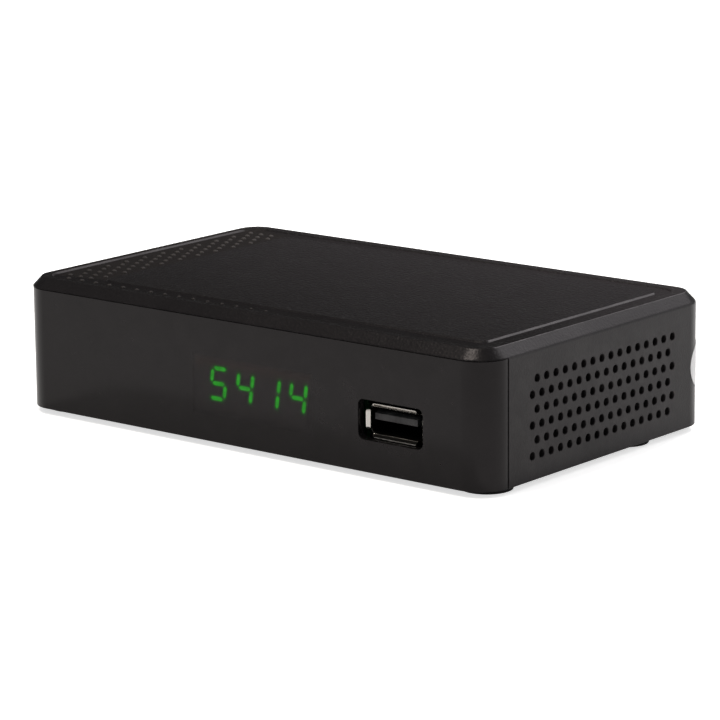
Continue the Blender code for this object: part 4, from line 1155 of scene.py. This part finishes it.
def buildFeet():
    for name in ("foot_front_left", "foot_front_right", "foot_rear_left", "foot_rear_right"):
        low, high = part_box(name)
        middle = (low + high) / 2
        radius, ease = (high.x - low.x) / 2, foot["ease"]
        wide, under = radius + foot["flange"], baseZ - foot["clear"]
        profile = [(foot["middle"], foot["hollow"], 0), (radius - foot["sole"], foot["hollow"], 0),
                   (radius - foot["rim"], 0, ease), (wide, 0, foot["flangeEase"]), (wide, under, ease),
                   (radius, under, 0), (radius, high.z, ease), (foot["middle"], high.z, 0)]
        words = name.split("_")
        piece = turnedPiece("foot" + words[1].title() + words[2].title(), profile, (middle.x, middle.y), "Z",
                            foot["sides"])
        finishPiece(piece, "foot rubber", name)


buildFeet()
print("feet built")


# rear sockets

aerial = {
    "lip": 0.25 * mm, "groove": 0.12 * mm, "grooveEase": 0.1 * mm, "grooveSteps": (1.4, 1.6, 2.2, 2.4),
    "bore": {"hole": 0.75 * mm, "pin": 0.65 * mm}, "depth": 8.5 * mm, "mouthEase": 0.2 * mm, "boreFoot": 0.2,
    "sides": 64, "contactSides": 32, "middle": 0.1 * mm, "cup": 1.2 * mm, "cupEase": 0.25 * mm,
    "cupDeep": 3 * mm, "cupEnd": 3.4 * mm, "pinTaper": 1.1 * mm, "pinEase": 0.3 * mm, "pinTip": 0.55,
    "pinRound": 0.12 * mm, "tipEase": 0.2 * mm, "slit": 0.14 * mm, "slitDeep": 2.6 * mm,
}


def spanOf(name):
    # a round node's box, and its middle and radius seen from behind
    low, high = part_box(name)
    return low, high, ((low.x + high.x) / 2, (low.z + high.z) / 2), (high.x - low.x) / 2


def buildAerial(name, pieceName, kind):
    low, high, middle, radius = spanOf(name + "_barrel")
    bore, ease = radius - aerial["bore"][kind], aerial["grooveEase"]
    floor, foot = high.y - aerial["depth"], bore * aerial["boreFoot"]
    profile = [(foot, floor, 0), (bore, floor, 0), (bore, high.y, aerial["mouthEase"]),
               (radius, high.y, aerial["lip"])]
    for sink, down in zip((0, aerial["groove"], aerial["groove"], 0), aerial["grooveSteps"]):
        profile.append((radius - sink, high.y - down * mm, ease))
    profile += [(radius, low.y, 0), (foot, low.y, 0)]
    barrel = turnedPiece(pieceName + "Barrel", profile, middle, "Y", aerial["sides"], looped=True)
    finishPiece(barrel, "turned nickel", name + "_barrel")

    low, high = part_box(name + "_contact")
    radius = (high.x - low.x) / 2
    inner, cup, cupEase = aerial["middle"], aerial["cup"], aerial["cupEase"]
    profile = [(inner, low.y, 0), (radius, low.y, 0)]
    if kind == "hole":
        profile += [(radius, high.y, cupEase), (cup, high.y, cupEase), (cup, high.y - aerial["cupDeep"], ease),
                    (inner, high.y - aerial["cupEnd"], 0)]
    else:
        profile += [(radius, high.y - aerial["pinTaper"], aerial["pinEase"]),
                    (radius * aerial["pinTip"], high.y - aerial["pinRound"], aerial["tipEase"]), (inner, high.y, 0)]
    contact = turnedPiece(pieceName + "Contact", profile, middle, "Y", aerial["contactSides"])
    if kind == "hole":  # four slits make the spring fingers
        slit, wide, (x, z) = aerial["slit"], radius * 2, middle
        start, stop = high.y - aerial["slitDeep"], high.y + meshing["over"]
        for across, tall in ((slit, wide), (wide, slit)):
            cutBox(contact, (x - across, start, z - tall), (x + across, stop, z + tall))
    finishPiece(contact, "contact gold", name + "_contact")


hdmi = {
    "taper": 1.8 * mm, "sheet": 0.4 * mm, "bend": 0.45 * mm, "bendSteps": 4, "ease": 0.1 * mm,
    "mouthInner": 0.7, "mouthOuter": 0.3, "springAcross": 3.6 * mm, "springHalf": 0.9 * mm,
    "springThick": 0.15 * mm, "springFirst": 1.2, "springLong": 5.0, "springGap": 0.02, "springBow": 0.35,
    "springSteps": (0.0, 0.3, 0.6, 1.0), "tongueRadius": 0.1 * mm, "tongueSteps": 3,
    "tongueEnd": ((0.3, 0.0), (0.1, 0.06), (0.0, 0.2)), "contacts": 10, "pitch": 1.0 * mm,
    "contactHalf": 0.22 * mm, "contactStart": 4.5 * mm, "contactEnd": 0.5 * mm, "contactRise": 0.03 * mm,
}


def foldedRing(low, high, inset, y):
    # the shell's section with two tapered corners below, inset all round, with round bends
    middleX, half, taper = (low.x + high.x) / 2, (high.x - low.x) / 2, hdmi["taper"]
    corners = [Vector(corner) for corner in (
        (-half + taper, low.z), (half - taper, low.z), (half, low.z + taper), (half, high.z),
        (-half, high.z), (-half, low.z + taper))]
    moved = []
    for index, here in enumerate(corners):
        before = (corners[index - 1] - here).normalized()
        after = (corners[(index + 1) % len(corners)] - here).normalized()
        swing = before.angle(after) / 2
        moved.append(here + (before + after).normalized() * inset / math.sin(swing))
    ring = []
    for index, here in enumerate(moved):
        before = (moved[index - 1] - here).normalized() * hdmi["bend"]
        after = (moved[(index + 1) % len(moved)] - here).normalized() * hdmi["bend"]
        for point in curved(here + before, here, here + after, hdmi["bendSteps"]):
            ring.append((middleX + point.x, y, point.y))
    return ring


def buildHdmi():
    # folded shell with rounded bends, and its tongue with a row of contacts
    low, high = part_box("hdmi_shell")
    sheet, eased = hdmi["sheet"], high.y - hdmi["ease"]
    bm = bmesh.new()
    ringsInto(bm, [foldedRing(low, high, inset, y) for inset, y in (
        (sheet, low.y + meshing["over"]), (sheet, eased), (sheet * hdmi["mouthInner"], high.y),
        (sheet * hdmi["mouthOuter"], high.y), (0, eased), (0, low.y))])
    for side in (-1, 1):  # springs on the upper wall
        x, half, thick = (low.x + high.x) / 2 + side * hdmi["springAcross"], hdmi["springHalf"], hdmi["springThick"]
        rings = []
        for share in hdmi["springSteps"]:
            y = high.y - (hdmi["springFirst"] + hdmi["springLong"] * share) * mm
            z = high.z - sheet - (hdmi["springGap"] + hdmi["springBow"] * math.sin(math.pi * share)) * mm
            rings.append([(x - half, y, z), (x + half, y, z), (x + half, y, z - thick), (x - half, y, z - thick)])
        ringsInto(bm, rings)
    finishPiece(meshPiece("hdmiShell", bm), "nickel shell", "hdmi_shell")

    low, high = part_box("hdmi_tongue")
    rings = []
    for y, sink in [(low.y, 0.0)] + [(high.y - short * mm, sink) for short, sink in hdmi["tongueEnd"]]:
        rings.append(uprightRing((low.x, low.z), (high.x, high.z), -sink * mm, hdmi["tongueRadius"],
                                 hdmi["tongueSteps"], y))
    finishPiece(ringPiece("hdmiTongue", rings), "socket black", "hdmi_tongue")

    bm = bmesh.new()
    start, stop, half, rise = hdmi["contactStart"], hdmi["contactEnd"], hdmi["contactHalf"], hdmi["contactRise"]
    for index in range(hdmi["contacts"]):
        x = (low.x + high.x) / 2 + (index - (hdmi["contacts"] - 1) / 2) * hdmi["pitch"]
        for z in (low.z - rise, high.z - rise):
            boxInto(bm, (x - half, high.y - start, z), (x + half, high.y - stop, z + 2 * rise))
    finishPiece(meshPiece("hdmiContacts", bm), "contact gold")


copied = {"merge": 1e-6, "flat": 1}


def copyNode(name, pieceName, kind, width):
    # the CAD solid with its sharp edges eased, as its own piece
    bm = bmesh.new()
    bm.from_mesh(nodes[name].data)
    bmesh.ops.remove_doubles(bm, verts=bm.verts, dist=copied["merge"])
    bmesh.ops.dissolve_limit(bm, angle_limit=math.radians(copied["flat"]), verts=bm.verts, edges=bm.edges)
    piece = meshPiece(pieceName, bm)
    easeEdges(piece, width)
    finishPiece(piece, kind, name)


buildAerial("aerial_in", "aerialIn", "hole")
buildAerial("aerial_out", "aerialOut", "pin")
buildHdmi()
copyNode("scart_frame", "scartFrame", "socket black", 0.18 * mm)
copyNode("scart_block", "scartBlock", "socket black", 0.10 * mm)
copyNode("power_socket", "powerSocket", "socket black", 0.20 * mm)
print("rear sockets built")

powerPin = {"middle": 0.1 * mm, "taper": 0.5 * mm, "ease": 0.4 * mm, "tip": 0.5, "tipEase": 0.2 * mm, "sides": 32}


def buildPowerPin():
    low, high, middle, radius = spanOf("power_pin")
    profile = [(powerPin["middle"], low.y, 0), (radius, low.y, 0),
               (radius, high.y - powerPin["taper"], powerPin["ease"]),
               (radius * powerPin["tip"], high.y, powerPin["tipEase"]), (powerPin["middle"], high.y, 0)]
    piece = turnedPiece("powerPin", profile, middle, "Y", powerPin["sides"])
    finishPiece(piece, "turned nickel", "power_pin")


buildPowerPin()
print("power pin built")

# CAD nodes that stay as they are get their finishes here, by the start of their names
keptFinishes = {
    "base_plate": "case sides", "rear_plate": "rear zinc", "number_display": "module face",
    "display_board": "board mask", "main_board": "board mask", "board_header": "chip black",
    "remote_sensor": "socket black", "main_chip": "chip black", "memory_chip": "chip black",
    "flash_chip": "chip black", "crystal": "nickel shell", "heat_sink": "heat sink aluminium",
    "tuner_can": "rear zinc", "tuner_lid": "rear zinc", "aerial_in_insulator": "insulator white",
    "aerial_out_insulator": "insulator white", "case_screw": "rear zinc", "board_screw": "rear zinc",
    "usb_contact": "contact gold", "capacitor": "capacitor sleeve", "coil": "coil ferrite",
}
for name, node in nodes.items():
    for start, kind in keptFinishes.items():
        if name.startswith(start):
            for holder in node.material_slots:
                holder.material = finishes[kind]
print("kept nodes finished")


# floor, world, lamps and camera

stage = {
    "floorColour": (0.86, 0.86, 0.86), "floorRoughness": 0.9, "floorShine": 0.1,
    # the lift and shade ramps paint light and shadow into the floor for mirrored rays only
    "floorLines": (-3.0, -1.0, -0.3, 0.3, 1.0, 3.0), "seenLift": 0.66,
    "liftNear": (-0.13, -0.085, 0.190, 0.215), "liftFar": (0.0, 0.12, 0.0, 0.38),
    "liftSide": (0.07, 0.13, 1.0, 0.79), "liftLeft": (-0.15, -0.09, 1.12, 1.0),
    "shadeNear": (-0.080, -0.066, 0.0, 0.16), "shadeAcross": (0.04, 0.07, 1.0, 0.0),
    "white": (1.0, 1.0, 1.0), "worldLight": 0.40, "worldHigh": 0.035, "horizon": 0.06,
    "lamps": [
        dict(name="back box", way=(0.27, 0.69, 0.67), distance=0.55, size=(0.38, 0.31), power=0.62,
             colour=(1.0, 0.98, 1.0), mirrored=True),
        dict(name="side fill", way=(0.60, 0.74, 0.22), distance=0.6, size=(0.30, 0.20), power=0.28,
             colour=(1.0, 0.98, 1.0), mirrored=True),
        dict(name="overhead lamp", way=(-0.13, -0.345, 0.93), distance=0.7, size=(0.26, 0.24), power=1.8,
             colour=(1.0, 0.93, 0.84), mirrored=True),
        dict(name="key lamp", way=(-0.07, 0.70, 0.70), distance=1.2, size=(0.10, 0.10), power=7.0,
             colour=(1.0, 0.98, 0.97), mirrored=False),
    ],
    "aim": (0.0, 0.0, 0.012),
}


def raysOf(tree):
    # what the camera sees, and what only mirrors and clear pieces see
    rays = put(tree, "LightPath").outputs
    return rays["Is Camera Ray"], calc(tree, "MAXIMUM", rays["Is Glossy Ray"], rays["Is Transmission Ray"])


def buildFloor():
    # pale to the camera; in what the case mirrors, painted lighter and darker by place, with a painted shadow near
    # the case's front
    bm = bmesh.new()
    lines = stage["floorLines"]
    ringsInto(bm, [[(x, y, 0.0) for x in lines] for y in lines], closed=False, capped=False)
    floor = meshPiece("paleFloor", bm)
    if floor.data.polygons[0].normal.z < 0:
        floor.data.flip_normals()
    finish, tree, surface = newFinish("pale floor")
    seen, mirrored = raysOf(tree)
    parts = axesOf(tree, placeIn(tree))

    def lift(axis, name):
        return ramp(tree, parts[axis], *stage[name])

    rise = calc(tree, "ADD", lift("Y", "liftNear"), lift("Y", "liftFar"))
    for name in ("liftSide", "liftLeft"):
        rise = calc(tree, "MULTIPLY", rise, lift("X", name))
    shade = calc(tree, "MULTIPLY", lift("Y", "shadeNear"), lift("X", "shadeAcross"))
    rise = calc(tree, "MULTIPLY", rise, calc(tree, "SUBTRACT", 1.0, shade))
    strength = calc(tree, "ADD", calc(tree, "MULTIPLY", seen, stage["seenLift"]),
                    calc(tree, "MULTIPLY", mirrored, rise))
    feed(tree, surface, {
        "Base Color": stage["floorColour"], "Roughness": stage["floorRoughness"],
        "Specular IOR Level": stage["floorShine"], "Emission Color": stage["white"],
        "Emission Strength": strength})
    floor.data.materials.append(finish)
    finishes["pale floor"] = finish


def buildWorld():
    # white to the camera, soft light on the part, and a darker room in what it mirrors
    world = bpy.data.worlds.new("studio")
    bpy.context.scene.world = world
    world.use_nodes = True
    tree = world.node_tree
    tree.nodes.clear()
    seen, mirrored = raysOf(tree)
    height = axesOf(tree, placeIn(tree, "Generated"))["Z"]
    fall = ramp(tree, height, 0.0, stage["horizon"], 1.0, stage["worldHigh"])
    light, room, white = (put(tree, "Background", Color=stage["white"], Strength=strength).outputs[0]
                          for strength in (stage["worldLight"], fall, 1.0))
    first, second = put(tree, "MixShader"), put(tree, "MixShader")
    feed(tree, first.inputs, {0: mirrored, 1: light, 2: room})
    feed(tree, second.inputs, {0: seen, 1: first.outputs[0], 2: white})
    put(tree, "OutputWorld", Surface=second.outputs[0])


def buildLamps():
    aim = Vector(stage["aim"])
    for look in stage["lamps"]:
        data = bpy.data.lights.new(look["name"], "AREA")
        data.shape, data.size, data.size_y = "RECTANGLE", *look["size"]
        data.energy, data.color = look["power"], look["colour"]
        lamp = bpy.data.objects.new(look["name"], data)
        bpy.context.scene.collection.objects.link(lamp)
        way = Vector(look["way"]).normalized()
        lamp.location = aim + way * look["distance"]
        lamp.rotation_euler = way.to_track_quat("Z", "Y").to_euler()
        lamp.visible_camera = False
        lamp.visible_glossy = look["mirrored"]


camera = {"azimuth": 39.42, "elevation": 12.903, "roll": 0.5675, "lens": 174.40, "sensor": 36.0,
          "clip": (0.01, 30.0), "place": (441.45 * mm, -541.07 * mm, 171.52 * mm)}


def buildCamera():
    data = bpy.data.cameras.new("photo view")
    data.lens, data.sensor_width = camera["lens"], camera["sensor"]
    data.clip_start, data.clip_end = camera["clip"]
    eye = bpy.data.objects.new("photo view", data)
    bpy.context.scene.collection.objects.link(eye)
    turn, rise, roll = (math.radians(camera[key]) for key in ("azimuth", "elevation", "roll"))
    back = Vector((math.sin(turn) * math.cos(rise), -math.cos(turn) * math.cos(rise), math.sin(rise)))
    level = Vector((math.cos(turn), math.sin(turn), 0))
    upright = back.cross(level)
    right = level * math.cos(roll) - upright * math.sin(roll)
    up = back.cross(right)
    eye.matrix_world = Matrix.Translation(camera["place"]) @ Matrix((right, up, back)).transposed().to_4x4()
    bpy.context.scene.camera = eye


buildFloor()
buildWorld()
buildLamps()
buildCamera()
bpy.context.scene.view_settings.view_transform = "Standard"
for tree in (mouldGrain, paintedLightDrift, edgeWearAndSheen, dustFilm, rolledMetal, windowTint,
             bpy.context.scene.world.node_tree, *(finish.node_tree for finish in finishes.values())):
    arrangeNodes(tree)
print("stage built")

bpy.context.view_layer.update()
